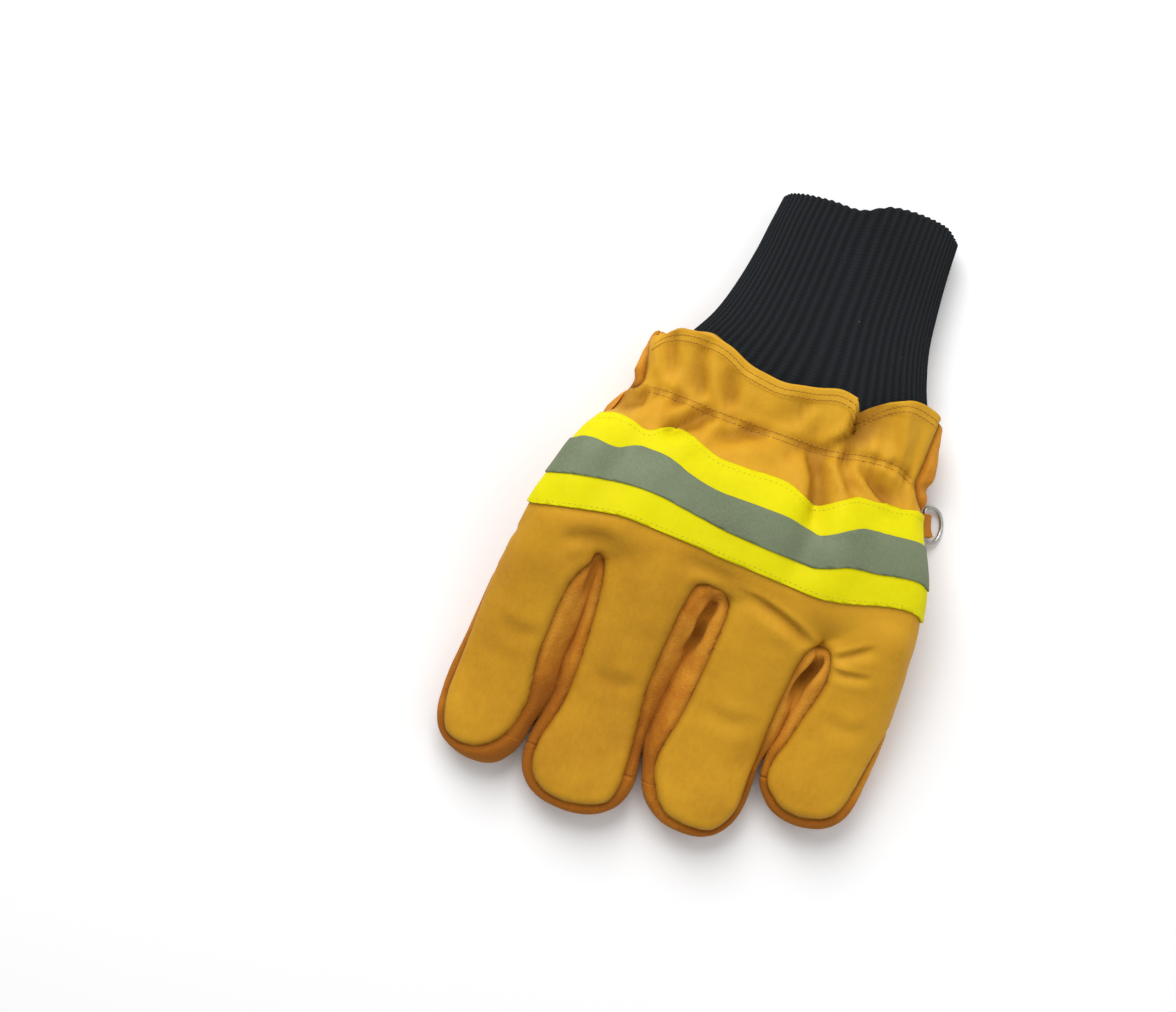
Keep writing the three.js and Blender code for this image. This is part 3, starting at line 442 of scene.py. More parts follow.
# How high the back leather's edge sits: it drops from the rim of the fingertips to mid height at the
# knuckles. Walls reach so far to each side, down and over the crotch.
seamPlaces = {"rise": 5.5, "riseAlong": (-64, -12), "below": 0.5}
wallReach = {"aside": 14, "down": 0.42, "over": 6}


def backField(p):
    rise = seamPlaces["rise"] * (1 - smoothStep(p[:, 1], *seamPlaces["riseAlong"]))
    above = p[:, 2] - seamHeight(p[:, 0], p[:, 1]) + seamPlaces["below"] - rise
    return np.minimum(insideOutline(outline, p[:, 0], p[:, 1]), above)


def wallField(p, name):
    wall = walls[name]
    x, y, z = p.T
    across = wallReach["aside"] - np.abs(x - wall["line"](y))
    low = z - seamHeight(x, y) + wallReach["down"] * glove["fingerThickness"] / 2
    return np.min([across, low, crotches[wall["finger"]] + wallReach["over"] - y, y - wall["end"]], 0)


def splitAt(piece, field, snap=0.12):
    # cuts the faces along field = 0, through any vertex nearer to it than snap
    p = pointsOf(piece)
    value = field(p)
    value[np.abs(value) < snap] = 0
    mesh = openMesh(piece)
    on = [mesh.verts[i] for i in np.flatnonzero(value == 0)]
    for edge in list(mesh.edges):
        a, b = (v.index for v in edge.verts)
        if value[a] * value[b] < 0:
            share = value[a] / (value[a] - value[b])
            on.append(bmesh.utils.edge_split(edge, edge.verts[0], share)[1])
    bmesh.ops.connect_verts(mesh, verts=on)
    closeMesh(mesh, piece)


def faceMiddles(piece):
    # in glove millimetres
    centre = np.empty(len(piece.data.polygons) * 3)
    piece.data.polygons.foreach_get("center", centre)
    return centre.reshape(-1, 3) * 1000 - shift


def bodyNames(p):
    # the part that each face belongs to, by its middle
    names = np.full(len(p), "palm", dtype=object)
    x, y = p[:, 0], p[:, 1]
    fronts = y < rootSeam(x)
    which = sum((x > wall["line"](y)).astype(int) for wall in walls.values())
    for n, name in enumerate(("frontIndex", "frontMiddle", "frontRing", "frontLittle")):
        names[fronts & (which == n)] = name
    for name in walls:
        names[wallField(p, name) > 0] = name
    names[backField(p) > 0] = "back"
    return names


def partOf(piece, names, name):
    # copy of a piece with only the faces of one name
    part = newMesh(name, np.zeros((0, 3)), [])
    mesh = openMesh(piece)
    bmesh.ops.delete(mesh, geom=[mesh.faces[i] for i in np.flatnonzero(names != name)], context="FACES")
    closeMesh(mesh, part)
    return part


def seamPoints(piece, names):
    # middles of the edges where two parts meet, apart from the lower ends of the walls
    mesh = openMesh(piece)
    found = []
    for edge in mesh.edges:
        if len(edge.link_faces) == 2:
            one, two = sorted(names[face.index] for face in edge.link_faces)
            middle = (edge.verts[0].co + edge.verts[1].co) / 2
            along = middle.y * 1000 - shift[1]
            wallEnd = two in walls and one != "back" and along < walls[two]["end"] + 9
            if one != two and not wallEnd:
                found.append(middle)
    mesh.free()
    return found


def nearestDistance(points, targets):
    tree = KDTree(len(targets))
    for n, target in enumerate(targets):
        tree.insert(target, n)
    tree.balance()
    return np.array([tree.find(Vector(p))[2] for p in points])


# Elastic and gathers of the cuff.
cuff = {
    "elastic": [
        (-60, 62), (-50, 65), (-44, 66.3), (-30, 66.3), (-21, 65.7), (-5, 65.7), (10, 65.8),
        (25, 66.4), (30, 67.3), (40, 69.4), (46.7, 70), (51.7, 69.8), (56.7, 68.3), (60, 66.3),
        (68, 63),
    ],
    "elasticDepth": 1.9,
    "elasticWidth": 2.4,
    "elasticLift": 1.1,
    "gatherHeight": 1.9,
    "gatherReach": 10,
    "softLumps": 0.55,
    "creases": 0.15,
    "palmElastic": 65.5,
    "palmSeam": {"depth": 1.2, "across": -9, "along": 88, "lean": 0.1, "width": 1.1},
    "hemBand": {"depth": 0.35, "from": -6.2, "to": -5.2},
}
# Folds in the back: a path, the furrow's width on its left and right looking along it, and its depth.
folds = [
    ([(32.4, 110), (31.2, 88), (31.8, 79), (28, 71), (20, 64)], (7.5, 1.5), 8.5),
    ([(-31, 93), (-33, 82), (-28, 70), (-28, 63)], (2.6, 4.5), 3.2),
    ([(-48, 92), (-43.5, 80), (-38, 69)], (4.5, 2.6), 3.6),
    ([(-21, 84), (-20, 78), (-15, 67)], (4, 2.4), 2.4),
    ([(13, 83), (10, 78), (6, 67)], (2.4, 4), 2.2),
    ([(42, 92), (45, 80), (48, 71)], (2.6, 4.5), 3),
    ([(-22, 67), (-27, 61), (-39, 50)], (4.4, 2.4), 5),
    ([(-3, 66), (-8, 61.5), (-22, 55)], (3.8, 2.2), 3),
    ([(18, 67), (21, 61), (26, 48), (27, 34)], (5, 2.6), 5.2),
    ([(29, 67), (33, 61), (40, 51)], (3.6, 2.2), 3.6),
    ([(37, 67), (43, 61.5), (57, 54)], (3.8, 2.2), 4.2),
    ([(-45, 65), (-51, 60), (-59, 52)], (3.8, 2.4), 3),
    ([(10, 65), (8, 60), (5, 50)], (3.4, 3), 2.3),
    ([(26, 54), (28, 34), (28, 10)], (7, 6), 2.8),
    ([(-43, 56), (-48, 34), (-52, 8)], (7, 7), 2.2),
    ([(47.8, -7), (36, -1), (20, 4), (10, 5)], (3, 1), 2.2),
    ([(51, -8), (57, -4), (67, 3)], (1, 2.4), 1.5),
    ([(52, -11), (60, -11), (70, -9)], (1, 2), 1.1),
    ([(-14, 9), (0, 8.5), (13, 5)], (3.5, 3), 1.4),
    ([(-60, 0), (-48, 5), (-36, 6)], (3, 2.6), 1.3),
    ([(-72, -34), (-62, -38), (-51, -35)], (2.6, 3.4), 0.7),
    ([(-32, -41), (-22, -44), (-11, -41)], (2.6, 3.4), 0.7),
    ([(13, -39), (24, -43), (37, -39)], (2.6, 3.4), 0.7),
    ([(55, -27), (66, -31), (77, -27)], (2.4, 3.2), 0.6),
]
# Hollows in the walls between the fingers, written the same way.
hollows = [
    ([(3.2, 1), (2.8, -5), (1.4, -10), (1.6, -16), (-1, -26)], (2, 1.3), 3.2),
    ([(49, -3), (48.6, -8), (46.8, -14), (44.6, -20), (43, -32)], (2.3, 1.5), 3.8),
    ([(-43.4, 0), (-43.2, -8), (-42.8, -20)], (1, 1.4), 2),
]
elasticAt = curveThrough(cuff["elastic"])


def lumps(p, size, seed):
    # smooth noise from about -1 to 1; size is one length, or one each way
    scaled = p / np.asarray(size, float) + seed
    return np.array([noise.noise(v) for v in scaled.tolist()]) * 1.6


seamForms = {
    "body": {"depth": 1.25, "width": 1.15, "ridge": 0.35, "ridgeAt": 3.6, "ridgeWidth": 2},
    "thumb": {"depth": 1.1, "width": 0.9, "ridge": 0.25, "ridgeAt": 3.2, "ridgeWidth": 1.8},
}


def seamGroove(away, depth, width, ridge, ridgeAt, ridgeWidth):
    # a furrow along a seam with a low ridge beside it
    return depth * np.exp(-(away / width) ** 2) - ridge * np.exp(-((away - ridgeAt) / ridgeWidth) ** 2)


def foldDepth(x, y, kind):
    # a furrow along each path with a low ridge on either side, fading at both ends
    depth = np.zeros(len(x))
    for corners, widths, deepest in kind:
        path = smoothPath(corners, 2.5)
        near = np.full(len(x), 1e9)
        share = np.zeros(len(x))
        left = np.zeros(len(x), bool)
        for n, (a, b) in enumerate(zip(path[:-1], path[1:])):
            t, away = alongSpan(x, y, a, b)
            side = (b[0] - a[0]) * (y - a[1]) - (b[1] - a[1]) * (x - a[0]) > 0
            closer = away < near
            share[closer] = ((n + t) / (len(path) - 1))[closer]
            left[closer] = side[closer]
            near = np.minimum(near, away)
        near /= np.where(left, *widths)
        ends = smoothStep(share, 0, 0.3) * (1 - smoothStep(share, 0.6, 1))
        depth += ends * seamGroove(near, deepest, width=1, ridge=0.3 * deepest, ridgeAt=2, ridgeWidth=0.9)
    return depth


def relief(p, back):
    # how far the skin is pressed in, in millimetres; back is 1 on the back of the hand
    x, y, z = p.T
    hand = smoothStep(y, 10, 26)
    onBack = back > 0.5
    fromElastic = y - np.where(onBack, elasticAt(x) - cuff["elasticLift"], cuff["palmElastic"])
    near = np.exp(-np.abs(fromElastic) / cuff["gatherReach"]) * smoothStep(y, 45, 56)
    groove = cuff["elasticDepth"] * np.exp(-(fromElastic / cuff["elasticWidth"]) ** 2) * smoothStep(y, 50, 56)
    streaks = lumps(p, (5.2, 24, 9), 3.1) + 0.5 * lumps(p, (2.6, 9, 5), 8.7)
    soft = lumps(p, 25, 1.7) + 0.4 * lumps(p, 9, 5.2)
    creases = np.maximum(lumps(p, (15, 7, 10), 11.3), -0.2) * (1 - smoothStep(y, -8, 8))
    press = groove + cuff["gatherHeight"] * near * streaks * (0.55 + 0.45 * back)
    seam, hem = cuff["palmSeam"], cuff["hemBand"]
    fromSeam = (x - seam["across"] - seam["lean"] * (y - seam["along"])) / seam["width"]
    panel = seam["depth"] * np.exp(-fromSeam ** 2) * (1 - back) * smoothStep(y, 62, 66)
    fromHem = y - np.where(onBack, hemAt(x), glove["stops"][3])
    band = panel - hem["depth"] * smoothStep(fromHem, hem["from"], hem["to"])
    free = 1 - (1 - smoothStep(fromWalls(p), 1, 6)) * (1 - smoothStep(y, -6, 4))
    furrows = back * foldDepth(x, y, folds) + (1 - back) * smoothStep(z, 8, 14) * foldDepth(x, y, hollows)
    uneven = cuff["softLumps"] * soft * (0.5 + 0.5 * hand) + cuff["creases"] * creases
    return press + furrows + free * uneven + band


# Tape: the two edges of the yellow strip and of the silver one, across the back.
tape = {
    "top": [
        (-84, 38), (-72, 44), (-66, 47), (-59.6, 50), (-55.8, 51.3), (-51.7, 51.4), (-47.5, 50.7),
        (-43.3, 49.4), (-40, 50), (-37.5, 52.5), (-34.6, 54.2), (-30.8, 54.2), (-25.8, 52.9),
        (-20, 50.8), (-14.2, 48.9), (-8.3, 48.6), (0, 48.7), (6.7, 49.2), (11.7, 49), (15.8, 48.3),
        (19.2, 46.9), (22.5, 45.3), (25.8, 44.6), (29.2, 45.4), (32.5, 47.5), (35.8, 50), (40, 52.5),
        (44.2, 53.6), (50, 53.9), (58.3, 54.6), (63.3, 56), (66.3, 55.4), (72, 52), (84, 40),
    ],
    "silverTop": [
        (-84, 28), (-74, 33), (-66.3, 37), (-63.3, 38.9), (-59.2, 39.6), (-53.3, 39.3), (-50, 39.8),
        (-46.7, 41.4), (-42.5, 42.8), (-38.3, 42.9), (-33.3, 42.7), (-28.3, 41.7), (-21.7, 39.3),
        (-15, 37.8), (-8.3, 37), (0, 36.9), (13.3, 37), (19.2, 36.7), (23.3, 35.7), (27.5, 34.6),
        (31.7, 34.4), (35, 35.8), (38.3, 37.9), (41.7, 40.3), (45.8, 42.3), (50, 42.9), (58.3, 43.6),
        (64.2, 44.3), (68.3, 44.4), (71.3, 43.3), (84, 34),
    ],
    "silverBottom": [
        (-84, 16), (-70.8, 22), (-65, 24), (-60, 25.3), (-55, 26.3), (-50, 27), (-45, 27.7),
        (-38.3, 28.3), (-33.3, 28.3), (-26.7, 27.8), (-20, 26.8), (-13.3, 25.8), (-6.7, 24.8),
        (0, 24.1), (10, 23.5), (20, 22.9), (28.3, 22.5), (33.3, 22.5), (36.7, 23.5), (40.8, 25.2),
        (45, 27), (50, 27.9), (56.7, 28.5), (63.3, 29.8), (69.2, 30.6), (73.3, 30.4), (75.8, 29.2),
        (84, 24),
    ],
    "bottom": [
        (-84, 8), (-73.8, 9.6), (-70, 10.4), (-63.3, 12), (-55, 13.8), (-46.7, 15.4), (-40, 16.4),
        (-33.3, 16.4), (-21.7, 15.8), (-8.3, 15.2), (0, 14.5), (12.5, 14), (25, 13.2), (33.3, 12.7),
        (40, 12.9), (46.7, 13.9), (53.3, 15.4), (60, 17.3), (66.7, 18.9), (72.5, 19.4), (76.7, 18.8),
        (78.8, 17.3), (84, 14),
    ],
    "lift": 0.35,
    "wall": 0.8,
    "silverWall": 0.45,
    "silverGap": 0.15,
    "stitchIn": 1.5,
}
tapeEdge = {name: curveThrough(tape[name]) for name in ("top", "silverTop", "silverBottom", "bottom")}


def shiftOut(piece, distance):
    setPoints(piece, pointsOf(piece) + normalsOf(piece) * distance)


def stripOf(piece, name, bottom, top, lift, wall):
    # a strip cut from a copy of the back leather, raised off it
    whole = partOf(piece, np.full(len(piece.data.polygons), "whole"), "whole")
    for edge, way in ((top, -1), (bottom, 1)):
        splitAt(whole, lambda p: way * (p[:, 1] - tapeEdge[edge](p[:, 0])))
    x, y, z = faceMiddles(whole).T
    kept = (y < tapeEdge[top](x)) & (y > tapeEdge[bottom](x))
    strip = partOf(whole, np.where(kept, name, ""), name)
    bpy.data.objects.remove(whole)
    near = np.empty(len(strip.data.vertices))
    strip.data.attributes["seam"].data.foreach_get("value", near)
    shiftOut(strip, (lift * (1 - 0.9 * np.clip(near * 2, 0, 1)))[:, None])
    apply(strip, "SOLIDIFY", thickness=wall / 1000, offset=1)
    return strip


def paint(piece, name, values):
    # a number for each vertex, for the materials
    layer = piece.data.attributes.new(name, "FLOAT", "POINT")
    layer.data.foreach_set("value", np.asarray(values, float))


def smooth(piece):
    piece.data.polygons.foreach_set("use_smooth", [True] * len(piece.data.polygons))
    piece.data.update()


# Thumb: places run from its root to its tip; low and high are shares of its thickness.
thumb = {
    "sides": 84,
    "boxy": 2.3,
    "length": 104,
    "width": 66,
    "root": (-0.68 * glove["halfHand"], 37),
    "turn": math.radians(-12),
    "seamUp": 0.48,
    "at": [-0.07, -0.045, 0, 0.12, 0.26, 0.42, 0.6, 0.78, 0.9, 0.97, 1],
    "wide": [0.5, 0.72, 0.88, 0.96, 0.92, 0.78, 0.64, 0.56, 0.46, 0.3, 0.12],
    "low": [0.5, 0.2, 0.04, 0, 0, 0, 0, 0, 0.04, 0.14, 0.3],
    "high": [1.3, 1.65, 1.85, 1.6, 1.08, 0.98, 0.95, 0.9, 0.82, 0.68, 0.5],
}
thumb["ahead"] = np.array([math.cos(thumb["turn"]), math.sin(thumb["turn"])])


def thumbForm():
    rows = [np.linspace(-0.07, 0, 10)[:-1], np.linspace(0, 0.9, 62)[:-1], np.linspace(0.9, 1, 16)]
    at = np.concatenate(rows)
    wide, low, high = (smoothLine(thumb["at"], thumb[name])(at) for name in ("wide", "low", "high"))
    ahead = thumb["ahead"]
    across, up = superEllipse(thumb["sides"], np.full(len(at), thumb["boxy"]))
    half = (wide * thumb["width"] / 2)[:, None] * across
    spot = np.array(thumb["root"]) + (at * thumb["length"])[:, None] * ahead
    x = spot[:, 0][:, None] - half * ahead[1]
    y = spot[:, 1][:, None] + half * ahead[0]
    tall = (high - low) / 2 * glove["thumbThickness"]
    middle = (high + low) / 2 * glove["thumbThickness"] - glove["press"]
    z = middle[:, None] + tall[:, None] * up
    points = np.stack([x, y, z], 2)
    points += 0.6 * lumps(points.reshape(-1, 3), (14, 14, 10), 6.4).reshape(len(at), -1, 1) * (0.3, 0.3, 1)
    return newMesh("thumbLeather", aboveFloor(points), tubeFaces(len(at), thumb["sides"]))


body = bodyForm()
print("body form made", len(body.data.vertices))
# smoothed where the fingers join the hand, between the fingers and at the lower ends of the walls
y = pointsOf(body)[:, 1]
relax(body, smoothStep(y, -9, 1) * (1 - smoothStep(y, 22, 34)), 24)
p = pointsOf(body)
relax(body, (1 - smoothStep(fromWalls(p), 1, 3)) * (1 - smoothStep(p[:, 1], -5, 1)), 3)
for wall in walls.values():
    apart = np.hypot((p[:, 0] - wall["line"](p[:, 1])) / 3.5, (p[:, 1] - wall["end"] - 8) / 9)
    relax(body, 1 - smoothStep(apart, 0.4, 1), 8)

thumbPiece = thumbForm()
outward(thumbPiece)


def overThumbSeam(p):
    # height over the seam that runs round the thumb's edge
    at = ((p[:, :2] - thumb["root"]) @ thumb["ahead"]) / thumb["length"]
    low, high = (smoothLine(thumb["at"], thumb[name])(at) for name in ("low", "high"))
    seamAt = (1 - thumb["seamUp"]) * low + thumb["seamUp"] * high
    return p[:, 2] - seamAt * glove["thumbThickness"] + glove["press"]


# the thumb keeps clear of the hand and has a seam round its edge
cutter = body.copy()
cutter.data = body.data.copy()
bpy.context.scene.collection.objects.link(cutter)
shiftOut(cutter, 0.3)
combine(thumbPiece, cutter, "DIFFERENCE")
splitAt(thumbPiece, overThumbSeam)
p = pointsOf(thumbPiece)
away = np.abs(overThumbSeam(p))
shiftOut(thumbPiece, -seamGroove(away, **seamForms["thumb"])[:, None])
paint(thumbPiece, "seam", np.exp(-(away / 1.3) ** 2))
smooth(thumbPiece)
print("thumb made", len(thumbPiece.data.polygons))

# the cap at the hand's wrist end is taken out
mesh = openMesh(body)
mouth = [face for face in mesh.faces if len(face.verts) > 50 and face.calc_center_median().y > 0]
bmesh.ops.delete(mesh, geom=mouth, context="FACES_ONLY")
closeMesh(mesh, body)
splitAt(body, backField)
splitAt(body, lambda p: p[:, 1] - rootSeam(p[:, 0]))
for name in walls:
    splitAt(body, lambda p: wallField(p, name))
print("body cut along its seams", len(body.data.vertices))
names = bodyNames(faceMiddles(body))
p = pointsOf(body)
seams = nearestDistance(p / 1000 + shift / 1000, seamPoints(body, names)) * 1000
groove = seamGroove(seams, **seamForms["body"])
backShare = smoothStep(backField(p), -0.5, 3)
press = relief(p, backShare)
pressed = p - normalsOf(body) * (groove + press * (0.25 + 0.75 * smoothStep(seams, 0, 5)))[:, None]
setPoints(body, aboveFloor(pressed))
# smoothed again between the fingers and where the outer fingers leave the hand
between = (1 - smoothStep(fromWalls(p), 2, 4.5)) * (1 - smoothStep(p[:, 1], -3, 1))
relax(body, between * (1 - backShare), 2)
away = np.hypot((np.abs(p[:, 0]) - 77) / 6, (p[:, 1] - 1) / 7)
relax(body, 1 - smoothStep(away, 0.5, 1), 5)
paint(body, "seam", np.exp(-(seams / 1.1) ** 2))
# painted shade: the further the skin is pressed into a fold, the darker the materials make it there
paint(body, "crease", np.clip((press - 0.5) / 3, 0, 1))
parts = {name: partOf(body, names, name) for name in sorted(set(names))}
bpy.data.objects.remove(body)
for part in parts.values():
    smooth(part)
print("parts", {name: len(part.data.polygons) for name, part in parts.items()})

tapePiece = stripOf(parts["back"], "yellowTape", "bottom", "top", tape["lift"], tape["wall"])
silverLift = tape["lift"] + tape["wall"] + tape["silverGap"]
silverWall = tape["silverWall"]
silverPiece = stripOf(parts["back"], "silverTape", "silverBottom", "silverTop", silverLift, silverWall)
for part in parts.values():
    apply(part, "SOLIDIFY", thickness=glove["wall"] / 1000, offset=-1, material_offset=1)
print("leather and tape made")

# Knit wristlet: edges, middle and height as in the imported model.
knit = {
    "width": 69,
    "height": 24,
    "wall": 2.2,
    "ribs": 68,
    "perRib": 6,
    "rows": 104,
    "boxy": 2.3,
    "ribDepth": 0.55,
    "start": 1.2,
    "at": [1.75, 2, 2.2, 2.4, 2.62, 2.85, 3],
    "left": [-0.69, -0.59, -0.48, -0.42, -0.385, -0.36, -0.335],
    "right": [0.93, 0.85, 0.76, 0.7, 0.675, 0.66, 0.655],
    "middle": [0.59, 0.59, 0.58, 0.56, 0.54, 0.52, 0.5],
    "tall": [0.8, 0.84, 0.9, 0.94, 0.97, 0.99, 0.99],
    "endAt": [-0.36, -0.3, -0.1, 0.08, 0.25, 0.55, 0.66],
    "endAhead": [-0.1, -0.055, -0.03, -0.025, 0.05, 0.055, -0.01],
    "endLength": 70,
    "floor": 2.3,
}
knitAt = {name: smoothLine(knit["at"], knit[name]) for name in ("left", "right", "middle", "tall")}
knitEnd = smoothLine(knit["endAt"], knit["endAhead"])


def knitFloor(place):
    # the lowest height of the knit, which comes down to the ground at its end
    return knit["floor"] * (1 - smoothStep(place, 2.7, 2.9))


def knitForm():
    sides = knit["ribs"] * knit["perRib"]
    place = np.linspace(knit["start"], 3, knit["rows"])
    mouth = knit["at"][0]
    known = np.clip(place, mouth, 3)
    deep = smoothStep(mouth - place, 0, mouth - knit["start"])
    left = knit["width"] * knitAt["left"](known)
    right = knit["width"] * knitAt["right"](known)
    half = knit["height"] / 2 * knitAt["tall"](known) * (1 - 0.25 * deep)
    middle = knit["height"] * knitAt["middle"](known) + 3 * deep
    across, up = superEllipse(sides, np.full(len(place), knit["boxy"]))
    crest = 0.5 + 0.5 * np.cos(2 * np.pi * np.arange(sides) / knit["perRib"])
    rib = knit["ribDepth"] * (crest ** 0.7 - 0.5)[None, :]
    x = ((left + right) / 2)[:, None] + ((right - left) / 2)[:, None] * across + rib * across
    last = smoothStep(place, 2.4, 3)[:, None]
    y = alongOf(place)[:, None] + last * knit["endLength"] * knitEnd(x / knit["width"])
    y = y + smoothStep(place, 2.93, 3)[:, None] * (rib * 0.9)
    z = np.maximum(middle[:, None] + half[:, None] * up, knitFloor(place)[:, None])
    z = z + rib * np.sign(up) * np.abs(up) ** 0.5
    points = np.stack([x, y, z], 2)
    wave = lumps(points.reshape(-1, 3), (22, 40, 22), 2.2).reshape(x.shape) * 0.8
    points[:, :, 2] += wave * np.clip(up, 0, 1)
    points[:, :, 0] += 0.5 * wave * across
    points[:, :, 2] = np.maximum(points[:, :, 2], knitFloor(place)[:, None])
    piece = newMesh("knitWristlet", points, gridFaces(len(place), sides, roundColumns=True))
    paint(piece, "course", np.repeat(alongOf(place), sides))
    paint(piece, "crest", np.tile(crest, len(place)))
    return piece


wristlet = knitForm()
outward(wristlet)
smooth(wristlet)
apply(wristlet, "SOLIDIFY", thickness=knit["wall"] / 1000, offset=-1)
print("wristlet made", len(wristlet.data.polygons))

# Tongue of suede under the knit, from inside the cuff to its rounded end.
patch = {
    "width": 78,
    "length": 43,
    "wall": 1.9,
    "columns": 61,
    "start": 1.75,
    "middleAt": 2.2,
    "at": [0, 0.35, 0.55, 0.72, 0.85, 0.94, 0.985, 1],
    "wide": [1, 0.98, 0.9, 0.77, 0.62, 0.44, 0.26, 0.12],
    "gap": 0.35,
    "lowest": 1.95,
    "highest": 10,
}
patchStart, patchEnd = alongOf(patch["start"]), alongOf(2) + patch["length"]
patchMiddle = knit["width"] * (knitAt["left"](patch["middleAt"]) + knitAt["right"](patch["middleAt"])) / 2


def patchForm():
    share = np.concatenate([np.linspace(0, 0.85, 34)[:-1], np.linspace(0.85, 1, 16)])
    half = smoothLine(patch["at"], patch["wide"])(share) * patch["width"] / 2
    y = np.repeat((patchStart + (patchEnd - patchStart) * share)[:, None], patch["columns"], 1)
    x = patchMiddle + half[:, None] * np.linspace(-1, 1, patch["columns"])
    place = placeOf(y)
    left, right = knit["width"] * knitAt["left"](place), knit["width"] * knitAt["right"](place)
    off = np.clip(np.abs(x - (left + right) / 2) / ((right - left) / 2 + 1.2), 0, 0.985)
    tall = knit["height"] / 2 * knitAt["tall"](place) + 0.4
    boxy = knit["boxy"]
    under = knit["height"] * knitAt["middle"](place) - tall * (1 - off ** boxy) ** (1 / boxy)
    z = np.clip(np.maximum(under, knitFloor(place)) - patch["gap"], patch["lowest"], patch["highest"])
    edge = 0.25 * lumps(np.stack([x, y, z], 2).reshape(-1, 3), 9, 4.4).reshape(x.shape) * (z > 2.2)
    return newMesh("heelPatch", np.stack([x, y, z + edge], 2), gridFaces(*x.shape))


patchPiece = patchForm()
smooth(patchPiece)
apply(patchPiece, "SOLIDIFY", thickness=patch["wall"] / 1000, offset=-1)

# Ring of round wire, a D with its straight side in the tab.
ring = {
    "wire": 1.7,
    "bar": 12.4,
    "reach": 8.6,
    "corner": 2.4,
    "sides": 20,
    "seat": (float(glove["halfHand"] * handAt["right"](0.8)) + 3, float(alongOf(0.8)), 5.2),
    "turn": math.radians(14),
}
ring["dip"] = math.asin((ring["seat"][2] - ring["wire"] / 2) / ring["reach"])


def ringLine():
    half = (ring["bar"] + ring["wire"]) / 2
    c, reach = ring["corner"], ring["reach"]
    bends = [
        [(0, c - half), (0, (c - half) / 3), (0, (half - c) / 3), (0, half - c), 1],
        [(0, half - c), (0, half - c / 3), (c / 3, half), (c, half), 3],
        [(c, half), (0.75 * reach, half), (reach, 0.55 * half), (reach, 0), 1],
        [(reach, 0), (reach, -0.55 * half), (0.75 * reach, -half), (c, -half), 1],
        [(c, -half), (c / 3, -half), (0, c / 3 - half), (0, c - half), 3],
    ]
    line = []
    for *corners, every in bends:
        t = np.linspace(0, 1, 41)[:-1:every, None]
        weights = ((1 - t) ** 3, 3 * t * (1 - t) ** 2, 3 * t * t * (1 - t), t ** 3)
        line.append(sum(weight * np.array(corner) for weight, corner in zip(weights, corners)))
    return np.vstack(line)


def seated(x, y, z):
    # from the ring's own place to its seat at the side of the glove
    seat = ring["seat"]
    c, s = math.cos(ring["turn"]), math.sin(ring["turn"])
    return np.stack([seat[0] + x * c - y * s, seat[1] + x * s + y * c, seat[2] + z], 2)


def ringForm():
    line = ringLine()
    ahead = np.roll(line, -1, 0) - np.roll(line, 1, 0)
    aside = np.stack([ahead[:, 1], -ahead[:, 0]], 1) / np.linalg.norm(ahead, axis=1)[:, None]
    angle = 2 * np.pi * np.arange(ring["sides"]) / ring["sides"]
    r = ring["wire"] / 2
    flat = line[:, None, :] + aside[:, None, :] * (r * np.cos(angle))[None, :, None]
    z = np.broadcast_to(r * np.sin(angle), flat.shape[:2])
    x = flat[:, :, 0] * math.cos(ring["dip"]) + z * math.sin(ring["dip"])
    up = -flat[:, :, 0] * math.sin(ring["dip"]) + z * math.cos(ring["dip"])
    faces = gridFaces(len(line), ring["sides"], roundRows=True, roundColumns=True)
    return newMesh("ringWire", seated(x, flat[:, :, 1], up), faces)


ringPiece = ringForm()
outward(ringPiece)
smooth(ringPiece)

# Tab: a strip of suede folded round the ring's straight side.
tab = {
    "width": 9.4,
    "wall": 1.6,
    "tail": 21,
    "rise": math.radians(118),
    "clearance": 0.35,
    "columns": 19,
}


def tabForm():
    radius = ring["wire"] / 2 + tab["clearance"] + tab["wall"] / 2
    ends = np.array([math.cos(tab["rise"]), math.sin(tab["rise"])])
    aside = np.array([-ends[1], ends[0]])
    turn = tab["rise"] + np.pi / 2 + np.linspace(0, np.pi, 25)
    loop = radius * np.stack([np.cos(turn), np.sin(turn)], 1)
    out = np.linspace(tab["tail"], 1, 26)
    pinch = radius * (0.62 + 0.38 * np.exp(-(out / 5) ** 2))[:, None]
    first = ends * out[:, None] + aside * pinch
    last = (ends * out[:, None] - aside * pinch)[::-1]
    line = np.vstack([first, loop, last])
    along = np.concatenate([[0], np.cumsum(np.linalg.norm(np.diff(line, axis=0), axis=1))])
    along /= along[-1]
    share = np.linspace(-1, 1, tab["columns"])
    wide = tab["width"] / 2 * (1 - 0.05 * np.sin(along * np.pi))
    # the loop hangs out away from the wire, more at its finger end
    bulge = np.exp(-((along - 0.5) / 0.16) ** 2)[:, None]
    outer = bulge * np.clip(line[:, 0] / radius, 0, 1)[:, None]
    hang = bulge * (0.25 - 0.5 * share + 0.35 * share ** 2 + 0.1 * np.sin(6 * share))
    x = line[:, 0][:, None] - ends[0] * hang + 1.1 * outer * np.clip(-share, 0, 1) ** 1.5
    z = line[:, 1][:, None] - ends[1] * hang
    y = wide[:, None] * share * (1 - 0.1 * outer * (share > 0))
    return newMesh("ringLoop", seated(x, y, z), gridFaces(*y.shape))


tabPiece = tabForm()
smooth(tabPiece)
apply(tabPiece, "SOLIDIFY", thickness=tab["wall"] / 1000, offset=0)
print("tab and ring made")
